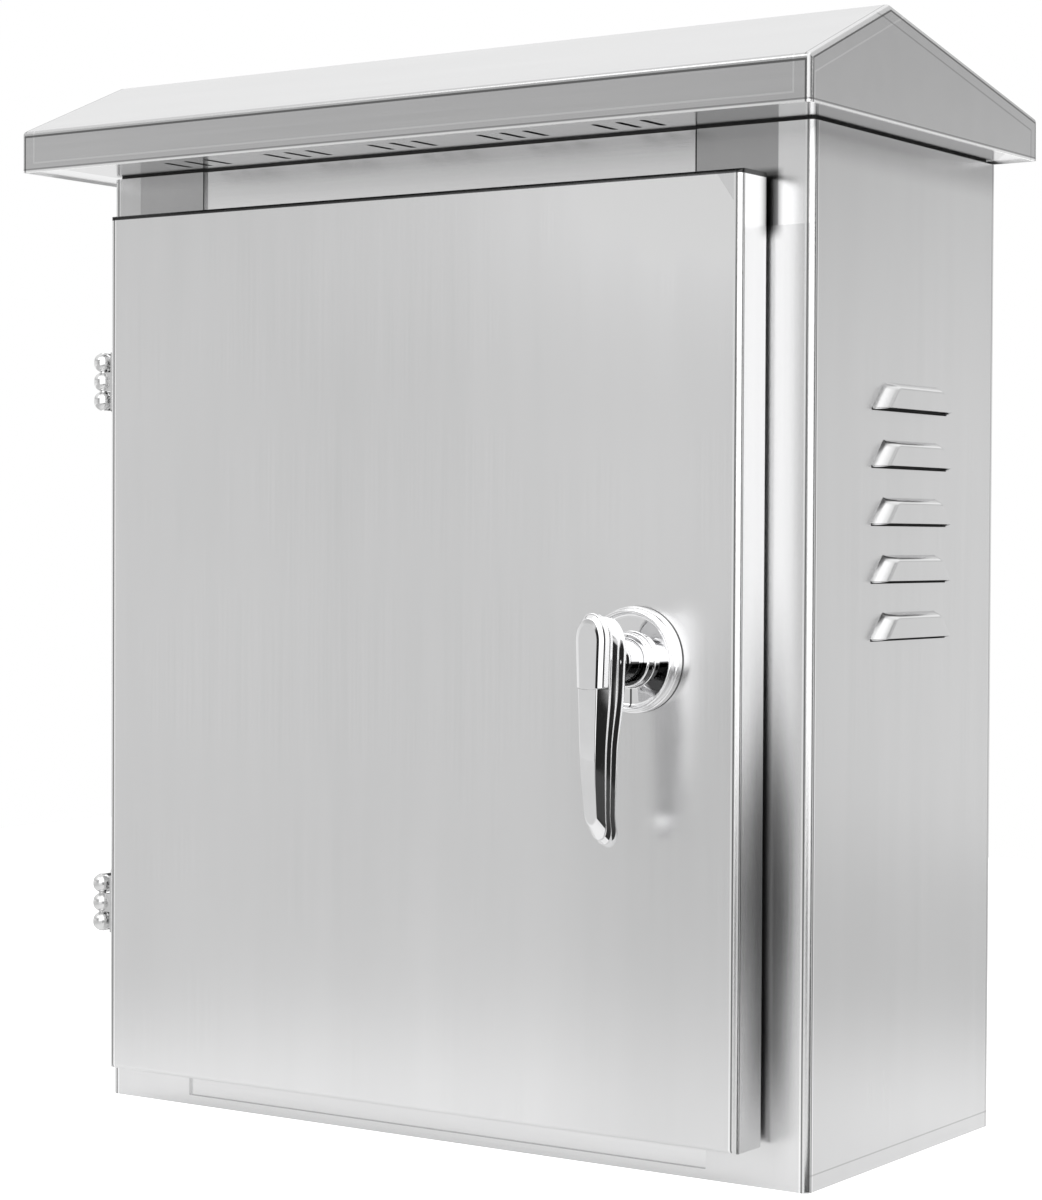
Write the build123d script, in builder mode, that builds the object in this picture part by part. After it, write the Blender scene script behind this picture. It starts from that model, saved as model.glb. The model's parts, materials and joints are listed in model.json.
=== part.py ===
from build123d import *
import os

# Stainless wall cabinet with a gabled rain hood, an overlay door on two outside hinges and an
# L-handle lock. Millimetres, +Z up, front towards -Y. The origin is on the underside of the box,
# in the middle of its width and depth.

# --- box ---
box_w = 432.0
box_d = 195.0
box_h = 500.0
sheet = 1.5
bend_r = 3.0
stile_w = 55.0          # front flange of each side panel
stile_tab_w = 64.0      # the flange is wider beside the top rail
top_rail_h = 48.0
bottom_rail_h = 45.0
front_lip_h = 5.0

# --- gutter round the opening ---
gutter_proud = 17.0     # how far the lip stands out of the stiles

# --- rain hood ---
hood_side = 23.5        # overhangs
hood_front = 47.5
hood_rear = 1.5
fascia_h = 21.7
ridge_back = 30.0       # ridge, behind the box front
ridge_rise = 33.3       # ridge, above the top of the fascia
hood_bend_r = 2.5
hood_lip = 1.0          # fascia edge below the soffit
seal_t = 1.2
seal_w = 12.0
seal_inset = 3.0
vent_groups = 5
vents_per_group = 3
vent_group_pitch = 66.5
vent_pitch = 13.5
vent_l = 21.0
vent_w = 3.5
vent_shift = -5.0       # the middle group, off the cabinet's middle
vent_back = 21.5        # vent centres, in front of the box
duct_l = 280.0          # cut-out that lets the box breathe into the hood
duct_w = 70.0
duct_r = 6.0
hood_stud_in_x = 46.0   # hood studs, in from the sides and from front and back
hood_stud_in_y = 40.0

# --- louvres ---
louvre_count = 5
louvre_pitch = 27.9
louvre_low_z = 257.6    # bottom edge of the lowest one
louvre_h = 12.5
louvre_l = 81.5
louvre_top_l = 57.0
louvre_reach = 6.5
louvre_back = 100.2     # louvre centres, behind the box front
screen_margin = 9.0
screen_hole_r = 2.5
screen_hole_pitch = 7.6
screen_holes = 10

# --- door ---
door_side = 22.5        # margins of the door on the box front
door_top = 23.9
door_low = 20.4
door_depth = 25.0
door_gap = 3.0
door_return = 12.0      # inner flange round the back of the pan
door_front_r = 2.4
door_rear_r = 2.5
gasket_w = 12.0
stiffener_x = 100.0
stiffener_w = 30.0
stiffener_h = 8.5
stiffener_flange = 9.0

# --- hinges ---
hinge_margin = 87.5     # from each end of the door to the hinge's middle
pivot_out = 12.0        # pivot, outside the door's edge
pivot_front = 20.0      # pivot, in front of the box
knuckle_r = 5.0
knuckle_h = 10.0
knuckle_gap = 0.3
knuckle_round = 4.5
hinge_pin_r = 2.0
leaf_t = 2.5
body_leaf_w = 18.0
door_leaf_l = 21.0
door_leaf_front = 5.0   # front edge of the door leaf, in front of the pivot
hinge_screw_pitch = 20.0

# --- handle ---
handle_in = 55.1        # handle axis, in from the door's right edge
handle_up = 228.0       # and above its bottom edge
rose_r = 25.2
rose_h = 9.0
rose_rim_r = 22.0
rose_dish = 5.5
rose_step = 1.2         # the rim steps in half way up
collar_r = 13.0
collar_h = 10.5
barrel_r = 11.0
barrel_rear = 14.5      # behind the inside of the door skin
stem_r = 10.0
stem_depth = 4.0        # end of the stem, in front of the door
spindle_r = 6.0
socket_depth = 12.0
lever_rear = 24.0       # back of the lever, in front of the door
lever_depth = 19.0
lever_head_w = 17.5
lever_tip_w = 11.5
lever_above = 24.0
lever_below = 85.0
lever_edge_r = 3.0
lever_waist = 4.0       # how far the back of the lever hollows above its tip
lever_toe = 14.0        # height of the flare at the tip
lever_toe_front = 5.0   # the tip's front, set back
cover_t = 6.0
cover_pin_up = 14.0
cover_seam_r = 26.4
cover_pin_r = 1.5
cover_pin_l = 14.5
cover_wall = 1.5        # cover left in front of its pin
lock_r = 7.0
lock_l = 11.0
key_slot = (1.4, 7.5, 3.0)
cam_t = 4.0
cam_w = 18.0
cam_bite = 22.4         # how far the cam reaches behind the stile
cam_square = 8.0
cam_round = 7.0
cam_screw_r = 2.5
cam_screw_l = 9.8       # thread in the spindle
cam_screw_hole = 12.0
cam_washer_r = 7.0
nut_af = 27.0
nut_t = 6.0
rose_gasket_t = 0.8

# --- mounting plate ---
plate_in_x = 41.0       # plate edges, in from the box
plate_in_z = 35.0
plate_t = 2.0
plate_hole_in_x = 20.0  # holes, in from the plate's edges
plate_hole_in_z = 25.0
spacer_l = 14.0
spacer_r = 7.0
plate_stud_r = 4.0
plate_stud_l = 32.0

# --- wall fixing ---
wall_hole_in_x = 36.0   # holes, in from the box
wall_hole_in_z = 30.0
wall_hole_r = 4.5

# --- gland plate ---
gland_w = 250.0
gland_d = 90.0
gland_t = 1.5
gland_gasket_t = 2.0
gland_rim = 13.0
gland_rear = 52.0       # centre, in from the back of the box
gland_screw_in = 6.5
gland_screw_r = 2.5
cable_count = 3
cable_pitch = 70.0
cable_r = 10.0
cable_hole_r = 14.0
cable_flange_r = 17.0
cable_flange_t = 2.0

# --- earth studs ---
earth_in = 40.0         # box stud, in from the right and the back
earth_stud_l = 22.0
door_stud_in = 70.0     # door stud, in from the left and up from the bottom
door_stud_l = 8.0

# --- fixings ---
m6_r = 3.0
m6_af = 10.0
m6_nut_t = 5.0
m8_af = 13.0
m8_nut_t = 6.5
m4_r = 2.0
m4_head_r = 3.5
m4_head_t = 1.8
m5_head_r = 4.5
m5_head_t = 3.0
m4_screw_l = 8.0
stud_tail = 3.0         # stud beyond its nut
washer_t = 1.2
hole_play = 0.4         # bolt in a punched hole
run_play = 0.05         # radial play of a turning fit, and of a thread
part_gap = 0.3          # between pieces that move past each other

# --- worked out from the sizes above ---
front = -box_d / 2
rear = box_d / 2
side = box_w / 2
open_w = box_w - 2 * stile_w
open_low = bottom_rail_h
open_high = box_h - top_rail_h
rail_back = front + 2 * sheet
inner_side = side - sheet
inner_rear = rear - sheet
soffit_low = box_h + seal_t
hood_low = soffit_low - hood_lip
hood_w = box_w + 2 * hood_side
hood_y0 = front - hood_front
hood_y1 = rear + hood_rear
door_face = front - door_gap - door_depth
door_rear = front - door_gap
skin_back = door_face + sheet
lip_front = front - gutter_proud
door_w = box_w - 2 * door_side
door_high = box_h - door_top
handle_x = door_w / 2 - handle_in
handle_z = door_low + handle_up
cam_reach = open_w / 2 - handle_x + cam_bite
plate_w = box_w - 2 * plate_in_x
plate_h = box_h - 2 * plate_in_z
plate_hole_x = plate_w / 2 - plate_hole_in_x
plate_hole_z = plate_h / 2 - plate_hole_in_z
wall_hole_x = side - wall_hole_in_x
wall_hole_z = box_h / 2 - wall_hole_in_z
pivot_x = -door_w / 2 - pivot_out
pivot_y = front - pivot_front
hinge_heights = {"upper": door_high - hinge_margin, "lower": door_low + hinge_margin}
hinge_screw_heights = [z + shift for z in hinge_heights.values()
                       for shift in (-hinge_screw_pitch / 2, hinge_screw_pitch / 2)]
foot_left = part_gap - side
foot_screw_x = foot_left + m4_head_r + part_gap
tab_left = -door_w / 2 - leaf_t
tab_screw_y = pivot_y - door_leaf_front + door_leaf_l / 2
cam_front = rail_back + 2 * part_gap + run_play
cam_back = cam_front + cam_t
lever_back = door_face - lever_rear
lever_front = lever_back - lever_depth
cover_back = lever_front + cover_t
cover_pin_z = handle_z + cover_pin_up
plate_front = inner_rear - spacer_l - plate_t
gland_y = rear - gland_rear
gland_top = sheet + gland_gasket_t + gland_t

os.makedirs("parts", exist_ok=True)


def block(x0, x1, y0, y1, z0, z1, mode=Mode.ADD):
    # a box between two corners
    with Locations(((x0 + x1) / 2, (y0 + y1) / 2, (z0 + z1) / 2)):
        Box(abs(x1 - x0), abs(y1 - y0), abs(z1 - z0), mode=mode)


def facing_rear(x, y, z):
    # a plane whose normal points to the rear, with its x along X
    return Plane(origin=(x, y, z), x_dir=(1, 0, 0), z_dir=(0, 1, 0))


def facing_right(x, y, z):
    # a plane whose normal points along +X, with its x along Y
    return Plane(origin=(x, y, z), x_dir=(0, 1, 0), z_dir=(1, 0, 0))


def rod(plane, radius, length, mode=Mode.ADD):
    # a round bar standing on a plane
    with BuildSketch(plane) as plan:
        Circle(radius)
    extrude(plan.sketch, amount=length, mode=mode)


def ring(plane, outer_r, inner_r, length):
    # a washer, sleeve or grommet layer standing on a plane
    with BuildSketch(plane) as plan:
        Circle(outer_r)
        Circle(inner_r, mode=Mode.SUBTRACT)
    extrude(plan.sketch, amount=length)


def hex_nut(plane, across_flats, bore_r, length):
    with BuildSketch(plane) as plan:
        RegularPolygon(across_flats / 2, 6, major_radius=False)
        Circle(bore_r, mode=Mode.SUBTRACT)
    extrude(plan.sketch, amount=length)


def frame_plan(plane, width, height, band, amount):
    # a rectangular ring of the given band, on a plane
    with BuildSketch(plane) as plan:
        Rectangle(width, height)
        Rectangle(width - 2 * band, height - 2 * band, mode=Mode.SUBTRACT)
    extrude(plan.sketch, amount=amount)


# ---------------------------------------------------------------- side panels

louvre_y = front + louvre_back
louvre_rows = [louvre_low_z + row * louvre_pitch for row in range(louvre_count)]


def louvre_form(reach, height, length, top_length, root, floor):
    # a pressed hood: a bulging wedge along Y, with its ends sloping in towards the top
    with BuildSketch(Plane.XZ) as profile:
        with BuildLine():
            Polyline((0, height), (-root, height), (-root, floor), (reach, floor))
            ThreePointArc((reach, floor), (reach * 0.85, height * 0.6), (0, height))
        make_face()
    extrude(profile.sketch, amount=length, both=True)
    with BuildSketch(Plane.YZ.offset(-root)) as outline:
        with BuildLine():
            Polyline((-length / 2, floor), (length / 2, floor), (top_length / 2, height),
                     (-top_length / 2, height), close=True)
        make_face()
    extrude(outline.sketch, amount=root + reach, mode=Mode.INTERSECT)


with BuildPart() as louvre_skin:
    louvre_form(louvre_reach, louvre_h, louvre_l, louvre_top_l, sheet, 0)

with BuildPart() as louvre_core:
    louvre_form(louvre_reach - sheet, louvre_h - sheet, louvre_l - 2 * sheet,
                louvre_top_l - 2 * sheet, sheet, -sheet)

with BuildPart() as right_side:
    with BuildSketch() as side_plan:
        with BuildLine():
            Polyline((side, rear), (side, front), (side - stile_w, front),
                     (side - stile_w, front + sheet), (inner_side, front + sheet),
                     (inner_side, rear), close=True)
        make_face()
        fillet(side_plan.vertices().sort_by_distance((side, front))[0], bend_r)
        fillet(side_plan.vertices().sort_by_distance((inner_side, front + sheet))[0], bend_r - sheet)
    extrude(amount=box_h)
    block(side - stile_tab_w, side - stile_w, front, front + sheet, open_high, box_h)
    with Locations(*[(side, louvre_y, z) for z in louvre_rows]):
        add(louvre_skin.part)
        add(louvre_core.part, mode=Mode.SUBTRACT)

right_side.part.label = "right_side_panel"
export_step(right_side.part, "parts/right_side_panel.step")

with BuildPart() as left_side:
    mirror(right_side.part, about=Plane.YZ)
    for z in hinge_screw_heights:
        rod(facing_rear(foot_screw_x, front, z), m4_r + run_play, bend_r, mode=Mode.SUBTRACT)

left_side.part.label = "left_side_panel"
export_step(left_side.part, "parts/left_side_panel.step")

# ---------------------------------------------------------------- insect screens

screen_z0 = louvre_rows[0] - screen_margin
screen_z1 = louvre_rows[-1] + louvre_h + screen_margin

for name, hand in (("left", -1), ("right", 1)):
    with BuildPart() as screen:
        block(hand * inner_side, hand * (inner_side - sheet), louvre_y - louvre_l / 2 - screen_margin,
              louvre_y + louvre_l / 2 + screen_margin, screen_z0, screen_z1)
        with BuildSketch(Plane.YZ.offset(hand * (inner_side - sheet / 2))):
            for z in louvre_rows:
                with Locations((louvre_y, z + louvre_h / 2)):
                    with GridLocations(screen_hole_pitch, 0, screen_holes, 1):
                        Circle(screen_hole_r)
        extrude(amount=sheet, both=True, mode=Mode.SUBTRACT)
    screen.part.label = f"louvre_screen_{name}"
    export_step(screen.part, f"parts/louvre_screen_{name}.step")

# ---------------------------------------------------------------- back, top and bottom panels

with BuildPart() as back_panel:
    block(-inner_side, inner_side, inner_rear, rear, 0, box_h)
    with BuildSketch(facing_rear(0, inner_rear, box_h / 2)):
        with GridLocations(2 * wall_hole_x, 2 * wall_hole_z, 2, 2):
            Circle(wall_hole_r)
    extrude(amount=sheet, mode=Mode.SUBTRACT)

back_panel.part.label = "back_panel"
export_step(back_panel.part, "parts/back_panel.step")

hood_stud_spots = [(x, y) for x in (hood_stud_in_x - side, side - hood_stud_in_x)
                   for y in (front + hood_stud_in_y, rear - hood_stud_in_y)]

with BuildPart() as top_panel:
    block(-inner_side, inner_side, front + bend_r, inner_rear, box_h - sheet, box_h)
    block(-side + bend_r, side - bend_r, front + sheet, rail_back, open_high, box_h)
    with BuildSketch(Plane.XY.offset(box_h - sheet)):
        with Locations(*hood_stud_spots):
            Circle(m6_r + hole_play)
        RectangleRounded(duct_l, duct_w, duct_r)
    extrude(amount=sheet, mode=Mode.SUBTRACT)

top_panel.part.label = "top_panel"
export_step(top_panel.part, "parts/top_panel.step")

gland_open_w = gland_w - 2 * gland_rim
gland_open_d = gland_d - 2 * gland_rim
gland_screw_x = gland_w / 2 - gland_screw_in
gland_screw_y = gland_d / 2 - gland_screw_in
gland_screw_spots = [(x, gland_y + y) for x in (-gland_screw_x, 0, gland_screw_x)
                     for y in (-gland_screw_y, gland_screw_y)]

with BuildPart() as bottom_panel:
    block(-inner_side, inner_side, front + bend_r, inner_rear, 0, sheet)
    block(-side + bend_r, side - bend_r, front + sheet, rail_back, 0, open_low)
    block(-open_w / 2, open_w / 2, front, front + sheet, 0, front_lip_h)
    with BuildSketch():
        with Locations((0, gland_y)):
            Rectangle(gland_open_w, gland_open_d)
        with Locations(*gland_screw_spots):
            Circle(gland_screw_r + run_play)
    extrude(amount=sheet, mode=Mode.SUBTRACT)

bottom_panel.part.label = "bottom_panel"
export_step(bottom_panel.part, "parts/bottom_panel.step")

with BuildPart() as gutter:
    frame_plan(facing_rear(0, lip_front, (open_low + open_high) / 2), open_w, open_high - open_low,
               sheet, rail_back - lip_front)

gutter.part.label = "gutter_frame"
export_step(gutter.part, "parts/gutter_frame.step")

# ---------------------------------------------------------------- rain hood


def hood_outline(wall, floor):
    # the gabled section of the hood, stepped in by the wall
    fold = hood_low + fascia_h
    with BuildSketch(Plane.YZ) as section:
        with BuildLine():
            Polyline((hood_y0, floor), (hood_y0, fold), (front + ridge_back, fold + ridge_rise),
                     (hood_y1, fold), (hood_y1, floor), close=True)
        make_face()
        if wall > 0:
            offset(amount=-wall, kind=Kind.INTERSECTION)
        folds = [corner for corner in section.vertices() if corner.Y > floor + fascia_h / 2]
        fillet(folds, hood_bend_r - wall)
    return section.sketch


with BuildPart() as hood:
    extrude(hood_outline(0, hood_low), amount=hood_w / 2, both=True)
    extrude(hood_outline(sheet, hood_low - 2 * sheet), amount=hood_w / 2, both=True, mode=Mode.SUBTRACT)

hood.part.label = "roof_hood"
export_step(hood.part, "parts/roof_hood.step")

# each gable is welded in flush with the ends of the folded hood

for name, x in (("left", -hood_w / 2), ("right", hood_w / 2 - sheet)):
    with BuildPart() as gable:
        with Locations((x, 0, 0)):
            add(extrude(hood_outline(sheet, hood_low - 2 * sheet), amount=sheet, mode=Mode.PRIVATE))
        split(bisect_by=Plane.XY.offset(hood_low), keep=Keep.TOP)
    gable.part.label = f"roof_gable_{name}"
    export_step(gable.part, f"parts/roof_gable_{name}.step")

soffit_w = hood_w - 2 * sheet
soffit_y0 = hood_y0 + sheet
soffit_y1 = hood_y1 - sheet

with BuildPart() as soffit:
    block(-soffit_w / 2, soffit_w / 2, soffit_y0, soffit_y1, soffit_low, soffit_low + sheet)
    with BuildSketch(Plane.XY.offset(soffit_low)):
        with Locations((vent_shift, front - vent_back)):
            with GridLocations(vent_group_pitch, 0, vent_groups, 1):
                with GridLocations(vent_pitch, 0, vents_per_group, 1):
                    SlotOverall(vent_l, vent_w, rotation=90)
        RectangleRounded(duct_l, duct_w, duct_r)
    extrude(amount=sheet, mode=Mode.SUBTRACT)

soffit.part.label = "soffit_plate"
export_step(soffit.part, "parts/soffit_plate.step")

with BuildPart() as roof_seal:
    frame_plan(Plane.XY.offset(box_h), box_w - 2 * seal_inset, box_d - 2 * seal_inset, seal_w, seal_t)

roof_seal.part.label = "roof_seal"
export_step(roof_seal.part, "parts/roof_seal.step")

hood_stud_l = seal_t + sheet + washer_t + m6_nut_t + stud_tail

with BuildPart() as roof_studs:
    with BuildSketch(Plane.XY.offset(soffit_low)):
        with Locations(*hood_stud_spots):
            Circle(m6_r)
    extrude(amount=-hood_stud_l)

roof_studs.part.label = "roof_studs"
export_step(roof_studs.part, "parts/roof_studs.step")

with BuildPart() as roof_washers:
    for x, y in hood_stud_spots:
        ring(Plane(origin=(x, y, box_h - sheet - washer_t)), 2 * m6_r, m6_r + hole_play, washer_t)

roof_washers.part.label = "roof_washers"
export_step(roof_washers.part, "parts/roof_washers.step")

with BuildPart() as roof_nuts:
    for x, y in hood_stud_spots:
        hex_nut(Plane(origin=(x, y, box_h - sheet - washer_t - m6_nut_t)), m6_af, m6_r + run_play, m6_nut_t)

roof_nuts.part.label = "roof_nuts"
export_step(roof_nuts.part, "parts/roof_nuts.step")

# ---------------------------------------------------------------- mounting plate

plate_spots = [(x, z) for x in (-plate_hole_x, plate_hole_x)
               for z in (box_h / 2 - plate_hole_z, box_h / 2 + plate_hole_z)]

with BuildPart() as mounting_plate:
    block(-plate_w / 2, plate_w / 2, plate_front, plate_front + plate_t,
          (box_h - plate_h) / 2, (box_h + plate_h) / 2)
    fillet(mounting_plate.edges().filter_by(Axis.Y), 4)
    with BuildSketch(facing_rear(0, plate_front, box_h / 2)):
        with GridLocations(2 * plate_hole_x, 2 * plate_hole_z, 2, 2):
            Circle(plate_stud_r + hole_play)
    extrude(amount=plate_t, mode=Mode.SUBTRACT)

mounting_plate.part.label = "mounting_plate"
export_step(mounting_plate.part, "parts/mounting_plate.step")

with BuildPart() as plate_studs:
    for x, z in plate_spots:
        rod(facing_rear(x, inner_rear, z), plate_stud_r, -plate_stud_l)

plate_studs.part.label = "plate_studs"
export_step(plate_studs.part, "parts/plate_studs.step")

with BuildPart() as plate_spacers:
    for x, z in plate_spots:
        ring(facing_rear(x, inner_rear, z), spacer_r, plate_stud_r + hole_play, -spacer_l)

plate_spacers.part.label = "plate_spacers"
export_step(plate_spacers.part, "parts/plate_spacers.step")

with BuildPart() as plate_washers:
    for x, z in plate_spots:
        ring(facing_rear(x, plate_front, z), 2 * plate_stud_r, plate_stud_r + hole_play, -washer_t)

plate_washers.part.label = "plate_washers"
export_step(plate_washers.part, "parts/plate_washers.step")

with BuildPart() as plate_nuts:
    for x, z in plate_spots:
        hex_nut(facing_rear(x, plate_front - washer_t, z), m8_af, plate_stud_r + run_play, -m8_nut_t)

plate_nuts.part.label = "plate_nuts"
export_step(plate_nuts.part, "parts/plate_nuts.step")

# ---------------------------------------------------------------- gland plate

cable_spots = [((index - (cable_count - 1) / 2) * cable_pitch, gland_y) for index in range(cable_count)]

with BuildPart() as gland_gasket:
    frame_plan(Plane(origin=(0, gland_y, sheet)), gland_w, gland_d, gland_rim, gland_gasket_t)
    with BuildSketch(Plane.XY.offset(sheet)):
        with Locations(*gland_screw_spots):
            Circle(gland_screw_r + hole_play)
    extrude(amount=gland_gasket_t, mode=Mode.SUBTRACT)

gland_gasket.part.label = "gland_gasket"
export_step(gland_gasket.part, "parts/gland_gasket.step")

with BuildPart() as gland_plate:
    block(-gland_w / 2, gland_w / 2, gland_y - gland_d / 2, gland_y + gland_d / 2,
          gland_top - gland_t, gland_top)
    with BuildSketch(Plane.XY.offset(gland_top)):
        with Locations(*gland_screw_spots):
            Circle(gland_screw_r + hole_play)
        with Locations(*cable_spots):
            Circle(cable_hole_r)
    extrude(amount=-gland_t, mode=Mode.SUBTRACT)

gland_plate.part.label = "gland_plate"
export_step(gland_plate.part, "parts/gland_plate.step")

with BuildPart() as gland_screws:
    for x, y in gland_screw_spots:
        rod(Plane(origin=(x, y, gland_top)), gland_screw_r, part_gap - gland_top)
        rod(Plane(origin=(x, y, gland_top)), m5_head_r, m5_head_t)

gland_screws.part.label = "gland_screws"
export_step(gland_screws.part, "parts/gland_screws.step")

with BuildPart() as grommets:
    for x, y in cable_spots:
        ring(Plane(origin=(x, y, gland_top - gland_t - cable_flange_t)), cable_flange_r, cable_r,
             cable_flange_t)
        ring(Plane(origin=(x, y, gland_top - gland_t)), cable_hole_r, cable_r, gland_t)
        ring(Plane(origin=(x, y, gland_top)), cable_flange_r, cable_r, cable_flange_t)

grommets.part.label = "cable_grommets"
export_step(grommets.part, "parts/cable_grommets.step")

# ---------------------------------------------------------------- earth studs

earth_x = side - earth_in
earth_y = rear - earth_in

with BuildPart() as earth_stud:
    rod(Plane(origin=(earth_x, earth_y, sheet)), m6_r, earth_stud_l)

earth_stud.part.label = "earth_stud"
export_step(earth_stud.part, "parts/earth_stud.step")

with BuildPart() as earth_washer:
    ring(Plane(origin=(earth_x, earth_y, sheet)), 2 * m6_r, m6_r + hole_play, washer_t)

earth_washer.part.label = "earth_washer"
export_step(earth_washer.part, "parts/earth_washer.step")

with BuildPart() as earth_nut:
    hex_nut(Plane(origin=(earth_x, earth_y, sheet + washer_t)), m6_af, m6_r + run_play, m6_nut_t)

earth_nut.part.label = "earth_nut"
export_step(earth_nut.part, "parts/earth_nut.step")

with BuildPart() as door_stud:
    rod(facing_rear(door_stud_in - door_w / 2, skin_back, door_low + door_stud_in), m6_r, door_stud_l)

door_stud.part.label = "door_earth_stud"
export_step(door_stud.part, "parts/door_earth_stud.step")

# ---------------------------------------------------------------- door

with BuildPart() as door_skin:
    block(-door_w / 2, door_w / 2, door_face, door_rear, door_low, door_high)
    fillet(door_skin.faces().sort_by(Axis.Y)[0].edges(), door_front_r)
    fillet(door_skin.faces().sort_by(Axis.Y)[-1].edges(), door_rear_r)
    block(-door_w / 2 + sheet, door_w / 2 - sheet, skin_back, door_rear - sheet,
          door_low + sheet, door_high - sheet, mode=Mode.SUBTRACT)
    block(-door_w / 2 + door_return, door_w / 2 - door_return, door_rear - sheet, door_rear,
          door_low + door_return, door_high - door_return, mode=Mode.SUBTRACT)
    rod(facing_rear(handle_x, door_face, handle_z), barrel_r + run_play, sheet, mode=Mode.SUBTRACT)
    for z in hinge_screw_heights:
        rod(facing_right(-door_w / 2, tab_screw_y, z), m4_r + run_play, sheet, mode=Mode.SUBTRACT)

door_skin.part.label = "door_skin"
export_step(door_skin.part, "parts/door_skin.step")

gasket_rear = lip_front - part_gap
gasket_over = (gasket_w - sheet) / 2

with BuildPart() as door_gasket:
    frame_plan(facing_rear(0, skin_back, (open_low + open_high) / 2), open_w + 2 * gasket_over,
               open_high - open_low + 2 * gasket_over, gasket_w, gasket_rear - skin_back)

door_gasket.part.label = "door_gasket"
export_step(door_gasket.part, "parts/door_gasket.step")

stiffener_top = open_high - gasket_w - gasket_over
stiffener_bottom = open_low + gasket_w + gasket_over

for name, x in (("left", -stiffener_x), ("right", stiffener_x)):
    with BuildPart() as stiffener:
        with BuildSketch(Plane.XY.offset(stiffener_bottom)):
            with BuildLine():
                wing = stiffener_w / 2
                web = wing - stiffener_flange
                Polyline((x - wing, skin_back), (x - web, skin_back),
                         (x - web, skin_back + stiffener_h - sheet),
                         (x + web, skin_back + stiffener_h - sheet), (x + web, skin_back),
                         (x + wing, skin_back), (x + wing, skin_back + sheet),
                         (x + web + sheet, skin_back + sheet), (x + web + sheet, skin_back + stiffener_h),
                         (x - web - sheet, skin_back + stiffener_h), (x - web - sheet, skin_back + sheet),
                         (x - wing, skin_back + sheet), close=True)
            make_face()
        extrude(amount=stiffener_top - stiffener_bottom)
    stiffener.part.label = f"door_stiffener_{name}"
    export_step(stiffener.part, f"parts/door_stiffener_{name}.step")

# ---------------------------------------------------------------- hinges

stack_h = 3 * knuckle_h + 2 * knuckle_gap
bead_step = knuckle_h + knuckle_gap


def bead(z):
    # one rounded knuckle, bored for the pin, round the pivot
    with BuildSketch(Plane(origin=(pivot_x, pivot_y, 0), x_dir=(1, 0, 0), z_dir=(0, -1, 0))) as profile:
        with Locations((knuckle_r / 2, z)):
            Rectangle(knuckle_r, knuckle_h)
        fillet(profile.vertices().group_by(Axis.X)[-1], knuckle_round)
        with Locations(((hinge_pin_r + run_play) / 2, z)):
            Rectangle(hinge_pin_r + run_play, knuckle_h, mode=Mode.SUBTRACT)
    revolve(profile.sketch, axis=Axis((pivot_x, pivot_y, 0), (0, 0, 1)))


for name, z in hinge_heights.items():
    low = z - stack_h / 2
    high = z + stack_h / 2

    with BuildPart() as body_leaf:
        block(foot_left, foot_left + body_leaf_w, front - leaf_t, front, low, high)
        for bead_z in (z - bead_step, z + bead_step):
            bead(bead_z)
            block(pivot_x - leaf_t / 2, pivot_x + leaf_t / 2, pivot_y, front - leaf_t,
                  bead_z - knuckle_h / 2, bead_z + knuckle_h / 2)
        rod(Plane(origin=(pivot_x, pivot_y, low)), hinge_pin_r + run_play, stack_h, mode=Mode.SUBTRACT)
        for screw_z in (z - hinge_screw_pitch / 2, z + hinge_screw_pitch / 2):
            rod(facing_rear(foot_screw_x, front - leaf_t, screw_z), m4_r + run_play, leaf_t,
                mode=Mode.SUBTRACT)
    body_leaf.part.label = f"hinge_body_leaf_{name}"
    export_step(body_leaf.part, f"parts/hinge_body_leaf_{name}.step")

    with BuildPart() as door_leaf:
        bead(z)
        block(pivot_x, tab_left, pivot_y - leaf_t / 2, pivot_y + leaf_t / 2,
              z - knuckle_h / 2, z + knuckle_h / 2)
        block(tab_left, -door_w / 2, pivot_y - door_leaf_front, pivot_y - door_leaf_front + door_leaf_l,
              low, high)
        rod(Plane(origin=(pivot_x, pivot_y, low)), hinge_pin_r + run_play, stack_h, mode=Mode.SUBTRACT)
        for screw_z in (z - hinge_screw_pitch / 2, z + hinge_screw_pitch / 2):
            rod(facing_right(tab_left, tab_screw_y, screw_z), m4_r + run_play, leaf_t, mode=Mode.SUBTRACT)
    door_leaf.part.label = f"hinge_door_leaf_{name}"
    export_step(door_leaf.part, f"parts/hinge_door_leaf_{name}.step")

    with BuildPart() as hinge_pin:
        rod(Plane(origin=(pivot_x, pivot_y, low)), hinge_pin_r, stack_h)
    hinge_pin.part.label = f"hinge_pin_{name}"
    export_step(hinge_pin.part, f"parts/hinge_pin_{name}.step")

with BuildPart() as body_screws:
    for z in hinge_screw_heights:
        spot = facing_rear(foot_screw_x, front - leaf_t, z)
        rod(spot, m4_head_r, -m4_head_t)
        rod(spot, m4_r, m4_screw_l)

body_screws.part.label = "hinge_body_screws"
export_step(body_screws.part, "parts/hinge_body_screws.step")

with BuildPart() as door_screws:
    for z in hinge_screw_heights:
        spot = facing_right(tab_left, tab_screw_y, z)
        rod(spot, m4_head_r, -m4_head_t)
        rod(spot, m4_r, m4_screw_l)

door_screws.part.label = "hinge_door_screws"
export_step(door_screws.part, "parts/hinge_door_screws.step")

# ---------------------------------------------------------------- handle housing

rose_plane = Plane(origin=(handle_x, door_face, handle_z), x_dir=(1, 0, 0), z_dir=(0, 0, 1))
handle_axis = Axis((handle_x, door_face, handle_z), (0, 1, 0))

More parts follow.
